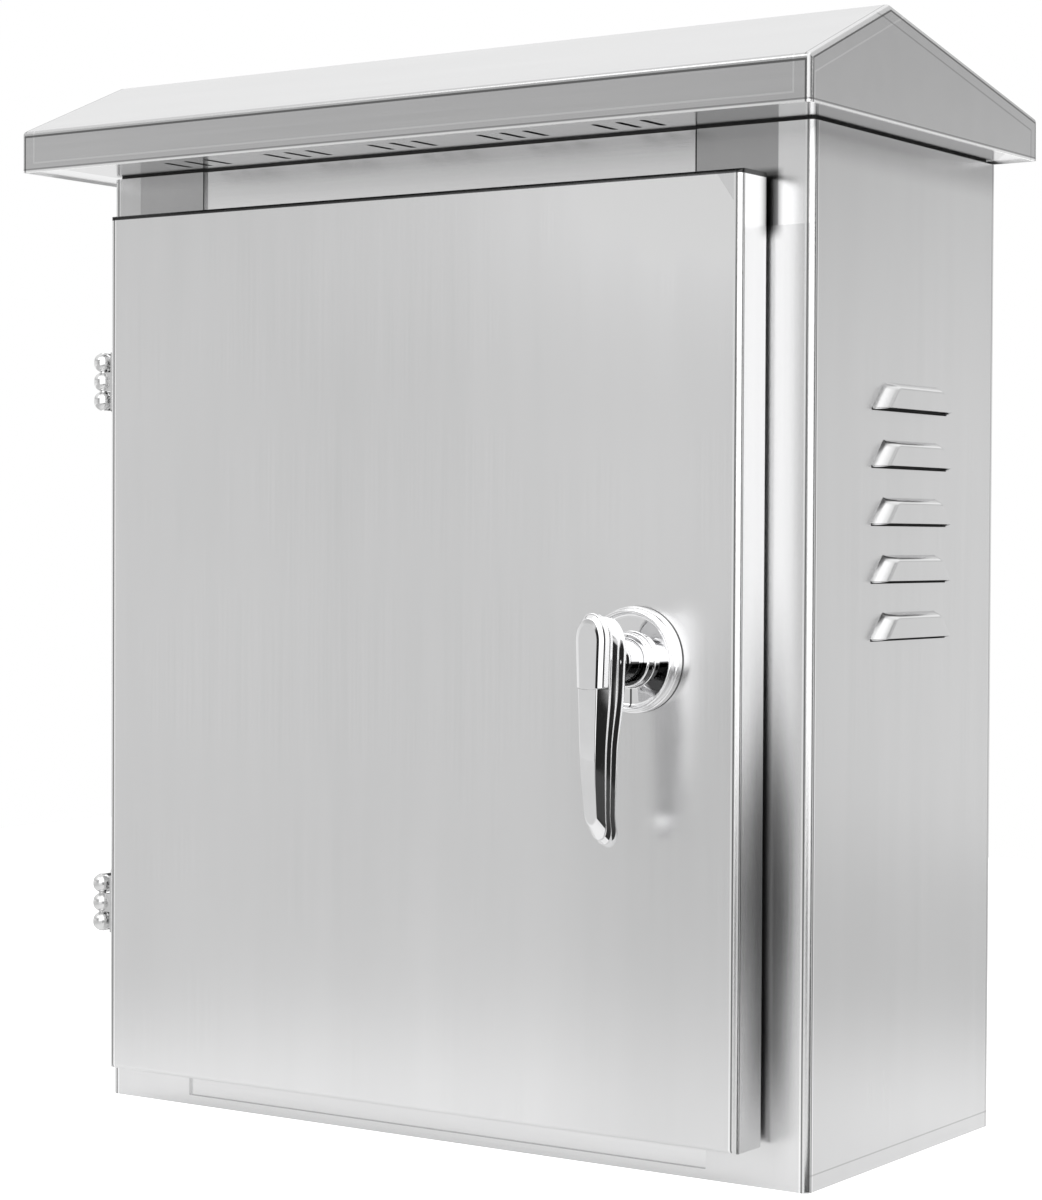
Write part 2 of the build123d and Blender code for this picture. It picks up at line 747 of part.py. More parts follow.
with BuildPart() as housing:
    with BuildSketch(rose_plane):
        with BuildLine():
            Polyline((spindle_r + run_play, -stem_depth), (stem_r + run_play, -stem_depth),
                     (stem_r + run_play, -collar_h), (collar_r, -collar_h), (collar_r, -rose_dish),
                     (rose_rim_r, -rose_dish), (rose_rim_r, -rose_h), (rose_r - rose_step, -rose_h),
                     (rose_r - rose_step, -rose_h / 2), (rose_r, -rose_h / 2), (rose_r, -rose_gasket_t),
                     (barrel_r, -rose_gasket_t), (barrel_r, sheet + barrel_rear),
                     (spindle_r + run_play, sheet + barrel_rear), close=True)
        make_face()
    revolve(axis=handle_axis)

housing.part.label = "handle_housing"
export_step(housing.part, "parts/handle_housing.step")

with BuildPart() as housing_gasket:
    ring(facing_rear(handle_x, door_face - rose_gasket_t, handle_z), rose_r, barrel_r + run_play,
         rose_gasket_t)

housing_gasket.part.label = "housing_gasket"
export_step(housing_gasket.part, "parts/housing_gasket.step")

with BuildPart() as housing_nut:
    hex_nut(facing_rear(handle_x, skin_back, handle_z), nut_af, barrel_r + run_play, nut_t)

housing_nut.part.label = "housing_nut"
export_step(housing_nut.part, "parts/housing_nut.step")

# ---------------------------------------------------------------- lever


def lever_front_view(seam):
    # the outline of the lever seen from the front: round head, taper, round tip
    with BuildSketch(facing_rear(handle_x, lever_front, handle_z)) as outline:
        with BuildLine():
            head = lever_head_w / 2
            tip = lever_tip_w / 2
            top = -lever_above
            bottom = lever_below
            Line((-head, top + head), (-tip, bottom - tip))
            ThreePointArc((-tip, bottom - tip), (0, bottom), (tip, bottom - tip))
            Line((tip, bottom - tip), (head, top + head))
            ThreePointArc((head, top + head), (0, top), (-head, top + head))
        make_face()
        if seam:
            with Locations((0, -cover_pin_up)):
                Circle(seam, mode=Mode.INTERSECT)
    return outline.sketch


with BuildPart() as lever:
    extrude(lever_front_view(0), amount=lever_depth)
    with BuildSketch(Plane.YZ.offset(handle_x - lever_head_w)):
        with BuildLine():
            top_z = handle_z + lever_above
            tip_z = handle_z - lever_below
            Polyline((lever_front, top_z), (lever_back, top_z), (lever_back, handle_z - collar_r),
                     (lever_back - lever_waist, tip_z + lever_toe), (lever_back, tip_z),
                     (lever_front + lever_toe_front, tip_z),
                     (lever_front + lever_toe_front / 3, tip_z + lever_toe),
                     (lever_front, handle_z - cover_seam_r), close=True)
        make_face()
    extrude(amount=2 * lever_head_w, mode=Mode.INTERSECT)
    rod(facing_rear(handle_x, lever_back - lever_waist, handle_z), stem_r,
        lever_waist + lever_rear - stem_depth)
    extrude(lever_front_view(cover_seam_r + part_gap), amount=cover_t + part_gap, mode=Mode.SUBTRACT)
    rod(facing_rear(handle_x, cover_back, handle_z), lock_r + run_play, part_gap + lock_l, mode=Mode.SUBTRACT)
    rod(facing_rear(handle_x, door_face - stem_depth - socket_depth, handle_z), spindle_r + run_play,
        socket_depth, mode=Mode.SUBTRACT)
    rod(facing_rear(handle_x, cover_back, cover_pin_z), cover_pin_r + run_play,
        cover_wall + part_gap + cover_pin_l - cover_t, mode=Mode.SUBTRACT)

lever.part.label = "handle_lever"
export_step(lever.part, "parts/handle_lever.step")

with BuildPart() as cover:
    extrude(lever_front_view(cover_seam_r), amount=cover_t)
    fillet(cover.faces().sort_by(Axis.Y)[0].edges(), lever_edge_r)
    rod(facing_rear(handle_x, lever_front + cover_wall, cover_pin_z), cover_pin_r + run_play, cover_t,
        mode=Mode.SUBTRACT)

cover.part.label = "key_cover"
export_step(cover.part, "parts/key_cover.step")

with BuildPart() as cover_pin:
    rod(facing_rear(handle_x, lever_front + cover_wall + part_gap, cover_pin_z), cover_pin_r, cover_pin_l)

cover_pin.part.label = "key_cover_pin"
export_step(cover_pin.part, "parts/key_cover_pin.step")

with BuildPart() as lock_cylinder:
    rod(facing_rear(handle_x, cover_back + part_gap, handle_z), lock_r, lock_l)
    block(handle_x - key_slot[0] / 2, handle_x + key_slot[0] / 2, cover_back + part_gap,
          cover_back + part_gap + key_slot[2], handle_z - key_slot[1] / 2, handle_z + key_slot[1] / 2,
          mode=Mode.SUBTRACT)

lock_cylinder.part.label = "lock_cylinder"
export_step(lock_cylinder.part, "parts/lock_cylinder.step")

# ---------------------------------------------------------------- spindle and cam

with BuildPart() as spindle:
    rod(facing_rear(handle_x, door_face - stem_depth - socket_depth, handle_z), spindle_r,
        cam_front - door_face + stem_depth + socket_depth)
    block(handle_x - cam_square / 2, handle_x + cam_square / 2, cam_front, cam_back,
          handle_z - cam_square / 2, handle_z + cam_square / 2)
    rod(facing_rear(handle_x, cam_back, handle_z), cam_screw_r + run_play, -cam_screw_hole,
        mode=Mode.SUBTRACT)

spindle.part.label = "handle_spindle"
export_step(spindle.part, "parts/handle_spindle.step")

with BuildPart() as cam:
    with BuildSketch(facing_rear(handle_x, cam_front, handle_z)) as cam_plan:
        with Locations((0, -(cam_reach - cam_w / 2) / 2)):
            Rectangle(cam_w, cam_reach + cam_w / 2)
        fillet(cam_plan.vertices(), cam_round)
        Rectangle(cam_square + 2 * run_play, cam_square + 2 * run_play, mode=Mode.SUBTRACT)
    extrude(amount=cam_t)

cam.part.label = "latch_cam"
export_step(cam.part, "parts/latch_cam.step")

with BuildPart() as cam_washer:
    ring(facing_rear(handle_x, cam_back, handle_z), cam_washer_r, cam_screw_r + run_play, washer_t)

cam_washer.part.label = "cam_washer"
export_step(cam_washer.part, "parts/cam_washer.step")

with BuildPart() as cam_screw:
    rod(facing_rear(handle_x, cam_back + washer_t, handle_z), cam_screw_r, -washer_t - cam_screw_l)
    rod(facing_rear(handle_x, cam_back + washer_t, handle_z), m5_head_r, m5_head_t)

cam_screw.part.label = "cam_screw"
export_step(cam_screw.part, "parts/cam_screw.step")
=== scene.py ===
import json
import math

import bmesh
import bpy
from mathutils import Matrix, Vector


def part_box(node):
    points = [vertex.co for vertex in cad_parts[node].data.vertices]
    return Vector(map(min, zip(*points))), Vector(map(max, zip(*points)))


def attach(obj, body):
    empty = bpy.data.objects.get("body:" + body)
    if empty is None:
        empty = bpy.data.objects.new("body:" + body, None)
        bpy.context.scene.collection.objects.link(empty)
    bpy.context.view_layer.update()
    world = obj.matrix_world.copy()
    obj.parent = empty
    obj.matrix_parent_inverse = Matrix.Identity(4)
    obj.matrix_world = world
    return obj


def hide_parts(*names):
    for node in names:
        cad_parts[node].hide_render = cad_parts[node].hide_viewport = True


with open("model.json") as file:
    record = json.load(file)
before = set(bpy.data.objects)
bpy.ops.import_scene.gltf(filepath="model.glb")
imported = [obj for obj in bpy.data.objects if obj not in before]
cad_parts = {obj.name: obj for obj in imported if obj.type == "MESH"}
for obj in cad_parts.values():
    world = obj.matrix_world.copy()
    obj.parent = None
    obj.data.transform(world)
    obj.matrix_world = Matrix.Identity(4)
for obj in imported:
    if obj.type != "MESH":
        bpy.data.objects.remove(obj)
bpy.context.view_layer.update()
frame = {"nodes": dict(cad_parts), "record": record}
nodes = frame["nodes"]
print("frame loaded:", len(nodes), "CAD nodes")

mm = 0.001
front = Vector((0, -1, 0))

# shader wires


class Wire:
    # one output socket of a node tree; arithmetic on it adds Math nodes
    def __init__(self, tree, socket=None):
        self.tree = tree
        self.socket = socket

    def put(self, kind, settings=None, sockets=None, out=0):
        # any node: its settings first, then the values or wires of its sockets
        node = self.tree.nodes.new(kind)
        for name, value in (settings or {}).items():
            if name == "stops":
                fillRamp(node.color_ramp, value)
            else:
                setattr(node, name, value)
        for name, value in (sockets or {}).items():
            target = node.inputs[name]
            if isinstance(value, Wire):
                self.tree.links.new(value.socket, target)
            else:
                target.default_value = value
        return Wire(self.tree, node.outputs[out] if node.outputs else None)

    def other(self, name):
        return Wire(self.tree, self.socket.node.outputs[name])

    def maths(self, operation, *values):
        return self.put("ShaderNodeMath", {"operation": operation}, dict(enumerate(values)))

    def __add__(self, value):
        return self.maths("ADD", self, value)

    def __mul__(self, value):
        return self.maths("MULTIPLY", self, value)

    def __sub__(self, value):
        return self.maths("SUBTRACT", self, value)

    def __rsub__(self, value):
        return self.maths("SUBTRACT", value, self)

    def __truediv__(self, value):
        return self.maths("DIVIDE", self, value)

    def __neg__(self):
        return self.maths("MULTIPLY", self, -1)

    def __abs__(self):
        return self.maths("ABSOLUTE", self)

    def least(self, value):
        return self.maths("MINIMUM", self, value)

    def root(self):
        return self.maths("SQRT", self)

    def whole(self):
        return self.maths("FLOOR", self)

    def step(self, start, end, low=0.0, high=1.0):
        # a soft step from low to high as the value goes from start to end
        return self.put("ShaderNodeMapRange", {"interpolation_type": "SMOOTHSTEP"},
                        {"Value": self, "From Min": start, "From Max": end, "To Min": low, "To Max": high})

    def axes(self):
        split = self.put("ShaderNodeSeparateXYZ", None, {0: self})
        return split, split.other("Y"), split.other("Z")


def fillRamp(ramp, stops):
    while len(ramp.elements) < len(stops):
        ramp.elements.new(0.5)
    for element, (place, tone) in zip(ramp.elements, stops):
        element.position = place
        element.color = (tone, tone, tone, 1)


def grey(tone, tint=0.0):
    return (tone, tone, tone * (1 + tint), 1)


def newMaterial(name):
    material = bpy.data.materials.new(name)
    material.use_nodes = True
    material.node_tree.nodes.clear()
    start = Wire(material.node_tree)
    here = start.put("ShaderNodeTexCoord").other("Object")
    return material, start, here


def finishMaterial(start, sockets):
    shader = start.put("ShaderNodeBsdfPrincipled", None, sockets)
    start.put("ShaderNodeOutputMaterial", None, {"Surface": shader})


def finishMetal(start, colour, rough, bump):
    finishMaterial(start, {"Base Color": colour, "Metallic": 1.0, "Roughness": rough, "Normal": bump})


def raised(start, height, strength, deep=0.2 * mm):
    return start.put("ShaderNodeBump", None, {"Strength": strength, "Distance": deep, "Height": height})


def noise(start, where, scale, detail=3, stretch=(1, 1, 1)):
    spread = start.put("ShaderNodeMapping", None, {"Vector": where, "Scale": stretch})
    return start.put("ShaderNodeTexNoise", None, {"Vector": spread, "Scale": scale, "Detail": detail})


def mixColour(start, mask, low, high):
    return start.put("ShaderNodeMix", {"data_type": "RGBA"}, {"Factor": mask, 6: low, 7: high}, out=2)


# sheet steel

panelSizes = {
    "sheet": 1.5 * mm,
    "bend": 3.0 * mm,
    "flange": 55.0 * mm,       # width of the front flange
    "tab": 64.0 * mm,          # the same beside the top rail
    "tabHigh": 48.0 * mm,
}
louvre = {
    "count": 5,
    "pitch": 27.9 * mm,
    "low": 257.6 * mm,         # bottom edge of the lowest
    "high": 12.5 * mm,
    "length": 81.5 * mm,
    "topLength": 57.0 * mm,
    "reach": 6.5 * mm,
    "centre": 2.7 * mm,
    "endRamp": 9.0 * mm,       # width of the round at each end
    "endRound": 0.8,
    "topRamp": 3.2 * mm,       # and along the top
    "topRound": 0.7,
    "slit": 1.4 * mm,          # gap cut under the bottom edge
    "steps": 12,
    "rows": 20,
}
hoodSizes = {
    "sheet": 1.5 * mm,
    "bend": 2.4 * mm,
    "steps": 6,
    "fascia": 21.7 * mm,
    "ridgeBack": 77.5 * mm,    # ridge, behind the fascia
    "edge": 0.35 * mm,         # bevel along the sheet's edges
}
sheetLook = {
    "tone": 0.80,
    "toneSpread": 0.05,        # cloudy change of tone over a hand's width
    "grainSpread": 0.05,       # fine lines of the brushing
    "grainScale": 900.0,       # lines to the metre, across the brushing
    "grainStretch": 0.012,     # the same, along it
    "roughness": 0.25,
    "roughnessSpread": 0.05,
    "broadScale": 60,          # bands of the brushing
    "broadStretch": 0.06,
    "cloudScale": 7,
    "bump": 0.035,
}


def brushedSheet(name, along, marks=None, tone=None, roughness=None, look=sheetLook):
    # satin sheet; along is the axis that the brushing follows
    # marks gives pairs of a mask and the share of the tone that is left under it; most marks are painted
    # light and shade
    material, start, here = newMaterial(name)
    stretch = [1, 1, 1]
    stretch[along] = look["grainStretch"]
    grain = noise(start, here, look["grainScale"], 2, stretch)
    stretch[along] = look["broadStretch"]
    broad = noise(start, here, look["broadScale"], 2, stretch)
    cloud = noise(start, here, look["cloudScale"], 3)
    level = (grain - 0.5) * look["grainSpread"] + (cloud - 0.5) * look["toneSpread"]
    level = level + (broad - 0.5) * look["toneSpread"] + (tone or look["tone"])
    rough = (cloud - 0.5) * look["roughnessSpread"] + (grain - 0.5) * look["roughnessSpread"]
    rough = rough + (roughness or look["roughness"])
    for mask, share in (marks(here) if marks else []):
        level = level * (1 - mask * (1 - share))
    colour = mixColour(start, level, grey(0), grey(1, 0.004))
    bump = raised(start, grain * 0.6 + broad * 0.4, look["bump"])
    finishMetal(start, colour, rough, bump)
    return material


def line(value, place, width=0.8 * mm):
    # 1 on a thin line where the value is at a place
    return abs(value - place).step(width * 0.65, width * 0.35)


def outermost(depth):
    # 1 on the outer skin of a sheet, where the depth is 0
    return depth.step(1.2 * mm, 0.5 * mm)


edgeLook = {
    "dark": 0.30,              # painted shade: the dark line beside a bend
    "light": 1.25,             # painted highlight: the lighter one next to it
    # dark joints, and the painted shadow along the door's top edge
    "seam": 0.06,
}


def bendLines(face, inside, bend):
    # painted shade: a dark line where the flat begins, then a painted highlight
    return [(face * line(inside, bend + 0.35 * mm), edgeLook["dark"]),
            (face * line(inside, bend + 1.3 * mm, 0.9 * mm), edgeLook["light"])]


doorLook = {
    "bend": 2.4 * mm,
    "sideShade": 0.6,          # low on both sides
    "shadeTop": (0.235, 0.16),
    "shadeFoot": (0.07, 0.15),
    "lightAndShadePatches": ((-0.06, 0.19, 0.15, 0.35, 1.10),     # painted light and shade patches: from and to across, from and to upwards, share
               (0, 0.19, 0.36, 0.47, 1.14),
               (-0.19, 0, 0.38, 0.47, 1.06),
               (0.07, 0.15, 0.28, 0.22, 0.91)),
    "corner": (9 * mm, 13 * mm),       # painted reflection: width and height of the slanted patch in the top corner
    "cornerIn": 4 * mm,
    "cornerReflection": 0.82,
}


# painted light and shade on the door: lines at the bends, shadow over the top edge, shade low on the sides,
# patches of light, a painted reflection in the right top corner
def doorMarks(here):
    low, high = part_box("door_skin")
    look, bend = doorLook, doorLook["bend"]
    x, y, z = here.axes()
    fromEdge = -abs(x) + high.x
    face = outermost(y - low.y)
    side = outermost(fromEdge)
    marks = bendLines(face, fromEdge, bend)
    marks += [(side * line(y, low.y + bend + 0.3 * mm), edgeLook["dark"]),
              (z.step(high.z - bend, high.z - bend + 0.3 * mm), edgeLook["seam"]),
              (side * z.step(*look["shadeTop"]) * z.step(*look["shadeFoot"]), look["sideShade"])]
    marks += [(face * x.step(left, right) * z.step(foot, top), share)
              for left, right, foot, top, share in look["lightAndShadePatches"]]
    across, down = look["corner"]
    edge = look["cornerIn"]
    corner = (fromEdge - edge) / across + (-z + high.z - bend) / down
    inField = face * x.step(0, 10 * mm) * fromEdge.step(edge - 0.2 * mm, edge + 0.2 * mm)
    marks += [(inField * corner.step(1.02, 0.98), look["cornerReflection"]),
              (inField * line(corner, 1.05, 0.08), edgeLook["light"])]
    return marks


panelLook = {
    "rearIn": 1.8 * mm,        # painted shade: the line beside the rear edge, with a painted highlight behind it
    "rearDark": 0.62,
    "rearHighlight": 1.2,
    "eaves": (21 * mm, 5 * mm),        # shade under the hood, down from the top
    "eavesShade": 0.72,
    # painted shade: the whole wall a little darker, more so high up and towards the front
    "wall": 0.94,
    "upper": 0.90,
    "upperFrom": (0.33, 0.48),
    "forwardShade": 0.95,
    "forwardFrom": (0.06, -0.09),
    "foot": 8 * mm,            # the line over the bottom edge
    "footDark": 0.75,
    "tab": 0.62,               # painted shade on the flange beside the top rail, without its outer strip
    # painted shadow under the hood on that flange
    "tabEaves": 0.92,
    "tabEavesFrom": (0.485, 0.498),
    "outer": 197 * mm,         # where the outer strip begins, from the middle
    # painted light on the right outer strip, painted shade on the left one
    "outerRightLight": 1.22,
    "outerLeftShade": 0.82,
    "joint": 152.4 * mm,
    # shades beside the door's free edge: share, from and to across, two pairs upwards
    "slot": (0.25, (201 * mm, 195 * mm), (0.444, 0.452), (0.480, 0.476)),
    "stile": (0.36, (210 * mm, 197 * mm), (0.30, 0.17), (0.0, 0.075)),
}


# painted light and shade on the side panels and their flanges; the line over the bottom edge and the joint
# line are the panel's own
def sideMarks(here):
    low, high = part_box("right_side_panel")
    look, bend = panelLook, panelSizes["bend"]
    x, y, z = here.axes()
    out = abs(x)
    inside = -out + (high.x - louvre["reach"])
    flange = outermost(y - low.y)
    side = outermost(inside)
    marks = bendLines(flange, inside, bend) + bendLines(side, y - low.y, bend)
    marks += [(side * line(y, high.y - look["rearIn"], 0.7 * mm), look["rearDark"]),
              (side * y.step(high.y - 1.5 * mm, high.y), look["rearHighlight"])]
    deep, shallow = look["eaves"]
    marks += [(side * z.step(high.z - deep, high.z - shallow), look["eavesShade"]),
              (side, look["wall"]), (side * z.step(*look["upperFrom"]), look["upper"]),
              (side * y.step(*look["forwardFrom"]), look["forwardShade"]),
              (side * line(z, look["foot"], 0.7 * mm), look["footDark"])]
    tabLow = high.z - panelSizes["tabHigh"]
    tab = flange * z.step(tabLow - 0.2 * mm, tabLow + 0.2 * mm)
    near, far = look["outer"] - 0.3 * mm, look["outer"] + 0.3 * mm
    marks += [(tab * out.step(far, near), look["tab"]),
              (tab * z.step(*look["tabEavesFrom"]), look["tabEaves"]),
              (tab * x.step(near, far), look["outerRightLight"]), (tab * x.step(-near, -far), look["outerLeftShade"]),
              (tab * line(out, look["joint"]), edgeLook["seam"])]
    shut = flange * x.step(0, 10 * mm)
    marks += [(shut * out.step(*across) * z.step(*first) * z.step(*second), share)
              for share, across, first, second in (look["slot"], look["stile"])]
    return marks


railLook = {
    "eaves": (22 * mm, 3 * mm),
    "eavesShade": 0.76,
    "joint": 151.6 * mm,
    "jointDark": 0.3,
    # painted light over the whole front of the rail
    "paintedLightGain": 1.2,
}


# painted shadow under the hood and painted light on the rail's front; the joint lines are its own
def railMarks(here):
    low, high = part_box("top_panel")
    x, y, z = here.axes()
    deep, shallow = railLook["eaves"]
    rail = y.step(low.y + 3 * mm, low.y + 2 * mm)
    return [(rail * z.step(high.z - deep, high.z - shallow), railLook["eavesShade"]),
            (rail * line(abs(x), railLook["joint"]), railLook["jointDark"]), (rail, railLook["paintedLightGain"])]


soffitLook = {
    "half": 216 * mm,          # half the width of the box
    "slant": 1.48,
    "rear": (99.5 * mm, 95.5 * mm),
    "shade": 0.74,
}


def soffitMarks(here):
    # painted reflection of the box's walls: darker where the soffit lies over the box
    x, y, z = here.axes()
    half = soffitLook["half"]
    corner = y + (abs(x) - half) * soffitLook["slant"]
    return [(x.step(-half, -half + mm) * corner.step(*soffitLook["rear"]), soffitLook["shade"])]


hoodLook = {
    # painted shade on the gables and the fascia
    "gable": 0.72,
    "fascia": 0.76,
    "slopeEnd": 0.55,          # painted shade: the line along the ends of the roof
    "lighterLine": 1.16,              # lighter lines along the gables' front and the fascia's border
    "frontLineIn": 9 * mm,       # how far in they lie
    "rearLineIn": 8 * mm,
    "rearDark": 0.72,
    "border": 4.8 * mm,        # the border of the fascia
    # painted highlight along the hem of the bottom edge, and painted shade in the line over it
    "rim": 1.75,
    "rimHigh": 1.1 * mm,
    "rimDark": 0.6,
}


def hoodMarks(here):
    low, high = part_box("roof_hood")
    look, size = hoodLook, hoodSizes
    x, y, z = here.axes()
    fold = low.z + size["fascia"]
    frontAngle = math.atan2(high.z - fold, size["ridgeBack"])
    rearAngle = math.atan2(high.z - fold, high.y - low.y - size["ridgeBack"])
    fromFront = y - low.y
    fromRear = -y + high.y
    fromEnd = -abs(x) + high.x
    underFront = (fromFront * math.tan(frontAngle) + fold - z) * math.cos(frontAngle)
    underRear = (fromRear * math.tan(rearAngle) + fold - z) * math.cos(rearAngle)
    gable = outermost(fromEnd)
    fascia = outermost(fromFront)
    rim = underFront.least(underRear).least(fromFront).least(fromRear)
    slope = underFront.step(0.9 * mm, 0.4 * mm)
    up = z - low.z
    marks = [(gable, look["gable"]), (fascia, look["fascia"]),
             (gable * line(rim, size["bend"] + 0.4 * mm), edgeLook["dark"]),
             (fascia * line(underFront.least(fromEnd), size["bend"] + 0.1 * mm, 1.0 * mm), edgeLook["dark"]),
             (slope * line(fromEnd, size["bend"] + 0.5 * mm, 0.7 * mm), look["slopeEnd"]),
             (gable * line(underFront.least(fromFront + 5 * mm), look["frontLineIn"]), look["lighterLine"]),
             (gable * line(underRear.least(fromRear), look["rearLineIn"]), look["rearDark"]),
             (fascia * line((fromEnd - 4 * mm).least(up), look["border"], 0.9 * mm), look["lighterLine"]),
             (up.step(look["rimHigh"], look["rimHigh"] - 0.3 * mm), look["rim"]),
             ((gable + fascia) * line(up, look["rimHigh"] + 0.5 * mm, 0.7 * mm), look["rimDark"])]
    return marks


# other finishes

chromeLook = {
    "tone": 0.88,
    "rippleScale": 90,
    "ripple": 0.05,
    "fineScale": 600,
    "fine": 0.02,
    "roughness": (0.035, 0.075),
    "bump": 0.05,
}
castLook = {
    "tone": 0.74,
    "skinScale": 900,
    "skin": 0.06,
    "cloudScale": 120,
    "cloud": 0.12,
    "roughness": (0.12, 0.24),
    "bump": 0.12,
}
zincLook = {
    "flowerScale": 95,         # flowers to the metre
    "flowerTone": (0.50, 0.70),
    "flowerRoughness": (0.28, 0.50),
    "wander": 6 * mm,          # how far their borders stray
    "cold": (0.56, 0.58, 0.62, 1),     # the plating of the small parts
    "warm": (0.74, 0.73, 0.70, 1),
    "roughness": (0.22, 0.40),
}


def chromePlate(name, marks=None):
    look = chromeLook
    material, start, here = newMaterial(name)
    ripple = noise(start, here, look["rippleScale"], 2)
    fine = noise(start, here, look["fineScale"], 2)
    level = (ripple - 0.5) * look["ripple"] + (fine - 0.5) * look["fine"] + look["tone"]
    for mask, share in (marks(here) if marks else []):
        level = level * (1 - mask * (1 - share))
    colour = mixColour(start, level, grey(0), grey(1, 0.006))
    rough = ripple.step(0.35, 0.75, *look["roughness"])
    bump = raised(start, ripple, look["bump"])
    finishMetal(start, colour, rough, bump)
    return material


def castSteel():
    look = castLook
    material, start, here = newMaterial("castSteel")
    skin = noise(start, here, look["skinScale"], 4)
    cloud = noise(start, here, look["cloudScale"], 2)
    level = (cloud - 0.5) * look["cloud"] + (skin - 0.5) * look["skin"] + look["tone"]
    colour = mixColour(start, level, grey(0), grey(1))
    rough = skin.step(0.2, 0.8, *look["roughness"])
    bump = raised(start, skin, look["bump"])
    finishMetal(start, colour, rough, bump)
    return material


def galvanised():
    # zinc flowers: cells of their own tone and gloss
    look = zincLook
    material, start, here = newMaterial("galvanised")
    bent = noise(start, here, 60, 3)
    wander = start.put("ShaderNodeVectorMath", {"operation": "MULTIPLY_ADD"},
                       {0: bent.other("Color"), 1: [look["wander"]] * 3, 2: here})
    cells = start.put("ShaderNodeTexVoronoi", None, {"Vector": wander, "Scale": look["flowerScale"]})
    shade = start.put("ShaderNodeSeparateColor", None, {0: cells.other("Color")})
    colour = mixColour(start, shade.step(0, 1, *look["flowerTone"]), grey(0), grey(1, 0.03))
    rough = shade.step(0, 1, *look["flowerRoughness"])
    bump = raised(start, shade, 0.1)
    finishMetal(start, colour, rough, bump)
    return material


def zincPlated():
    material, start, here = newMaterial("zincPlated")
    cloud = noise(start, here, 220, 3)
    fine = noise(start, here, 1500, 2)
    colour = mixColour(start, cloud, zincLook["cold"], zincLook["warm"])
    rough = fine.step(0.2, 0.8, *zincLook["roughness"])
    bump = raised(start, fine, 0.15, 0.1 * mm)
    finishMetal(start, colour, rough, bump)
    return material


def blackRubber(name, tone, pore, roughness):
    material, start, here = newMaterial(name)
    skin = noise(start, here, pore, 4)
    cloud = noise(start, here, 60, 2)
    colour = mixColour(start, (cloud - 0.5) * tone + (skin - 0.5) * tone + tone, grey(0), grey(1))
    rough = skin.step(0.2, 0.8, roughness, roughness + 0.2)
    bump = raised(start, skin, 0.35, 0.3 * mm)
    finishMaterial(start, {"Base Color": colour, "Roughness": rough, "Normal": bump})
    return material


finishes = {
    "stainless_sheet": brushedSheet("brushedUpright", 2),
    "chrome": chromePlate("chromePlate"),
    "hinge_steel": castSteel(),
    "galvanised_plate": galvanised(),
    "zinc_fixings": zincPlated(),
    "rubber": blackRubber("blackRubber", 0.03, 1400, 0.5),
    "gasket_foam": blackRubber("foamRubber", 0.05, 2600, 0.75),
}
# the screens behind the louvres: a dark mesh, made near black as painted shade inside the louvres
blackMeshAndShade = blackRubber("blackMeshAndShade", 0.015, 1800, 0.6)
finishOf = {
    "roof_hood": brushedSheet("brushedHood", 0, hoodMarks),
    "soffit_plate": brushedSheet("brushedSoffit", 0, soffitMarks, roughness=0.16),
    "top_panel": brushedSheet("brushedRail", 0, railMarks),
    "bottom_panel": brushedSheet("brushedAcross", 0),
    "right_side_panel": brushedSheet("brushedSide", 2, sideMarks),
    "door_skin": brushedSheet("brushedDoor", 2, doorMarks),
    "louvre_screen_left": blackMeshAndShade,
    "louvre_screen_right": blackMeshAndShade,
}
slotOf = {part["node"]: part["material_slot"] for part in frame["record"]["subparts"]}

for name, thing in nodes.items():
    thing.data.materials.clear()
    thing.data.materials.append(finishOf.get(name, finishes[slotOf[name]]))
print("finishes on the CAD nodes")

# making pieces


def meshPiece(name, points, faces, material, sharp=40):
    mesh = bpy.data.meshes.new(name)
    mesh.from_pydata([tuple(point) for point in points], [], faces)
    mesh.materials.append(material)
    piece = bpy.data.objects.new(name, mesh)
    bpy.context.collection.objects.link(piece)
    smoothPiece(piece, sharp)
    return piece


def smoothPiece(piece, sharp, weighted=False):
    for face in piece.data.polygons:
        face.use_smooth = True
    piece.data.set_sharp_from_angle(angle=math.radians(sharp))
    if weighted:                         # broad flats keep their own normal
        hold = piece.modifiers.new("hold", "WEIGHTED_NORMAL")
        hold.keep_sharp = True
        hold.weight = 80
        applyModifiers(piece)


def cleanPiece(piece, closed=True):
    # doubles merged, and faces turned outwards; an open form goes by its highest face
    form = bmesh.new()
    form.from_mesh(piece.data)
    bmesh.ops.remove_doubles(form, verts=form.verts, dist=1e-6)
    if closed:
        bmesh.ops.recalc_face_normals(form, faces=form.faces)
    else:
        top = max(form.faces, key=lambda face: face.calc_center_median().z)
        top.normal_update()
        if top.normal.z < 0:
            bmesh.ops.reverse_faces(form, faces=form.faces)
    form.to_mesh(piece.data)
    form.free()


def thicken(piece, thickness):
    sheet = piece.modifiers.new("sheet", "SOLIDIFY")
    sheet.thickness = thickness
    sheet.offset = -1
    sheet.use_even_offset = False


def bevelEdges(piece, width, angle):
    edge = piece.modifiers.new("edge", "BEVEL")
    edge.width = width
    edge.segments = 2
    edge.limit_method = "ANGLE"
    edge.angle_limit = math.radians(angle)


def applyModifiers(piece):
    # bakes the live modifiers into a plain mesh
    bpy.context.view_layer.update()
    seen = piece.evaluated_get(bpy.context.evaluated_depsgraph_get())
    mesh = bpy.data.meshes.new_from_object(seen)
    piece.modifiers.clear()
    piece.data = mesh


def hand(piece, body, slot, *replaced):
    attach(piece, body)
    if replaced:
        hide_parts(*replaced)


def arc(centre, radius, start, end, steps):
    # points of an arc, angles in degrees
    for step in range(steps + 1):
        angle = math.radians(start + (end - start) * step / steps)
        yield centre[0] + radius * math.cos(angle), centre[1] + radius * math.sin(angle)


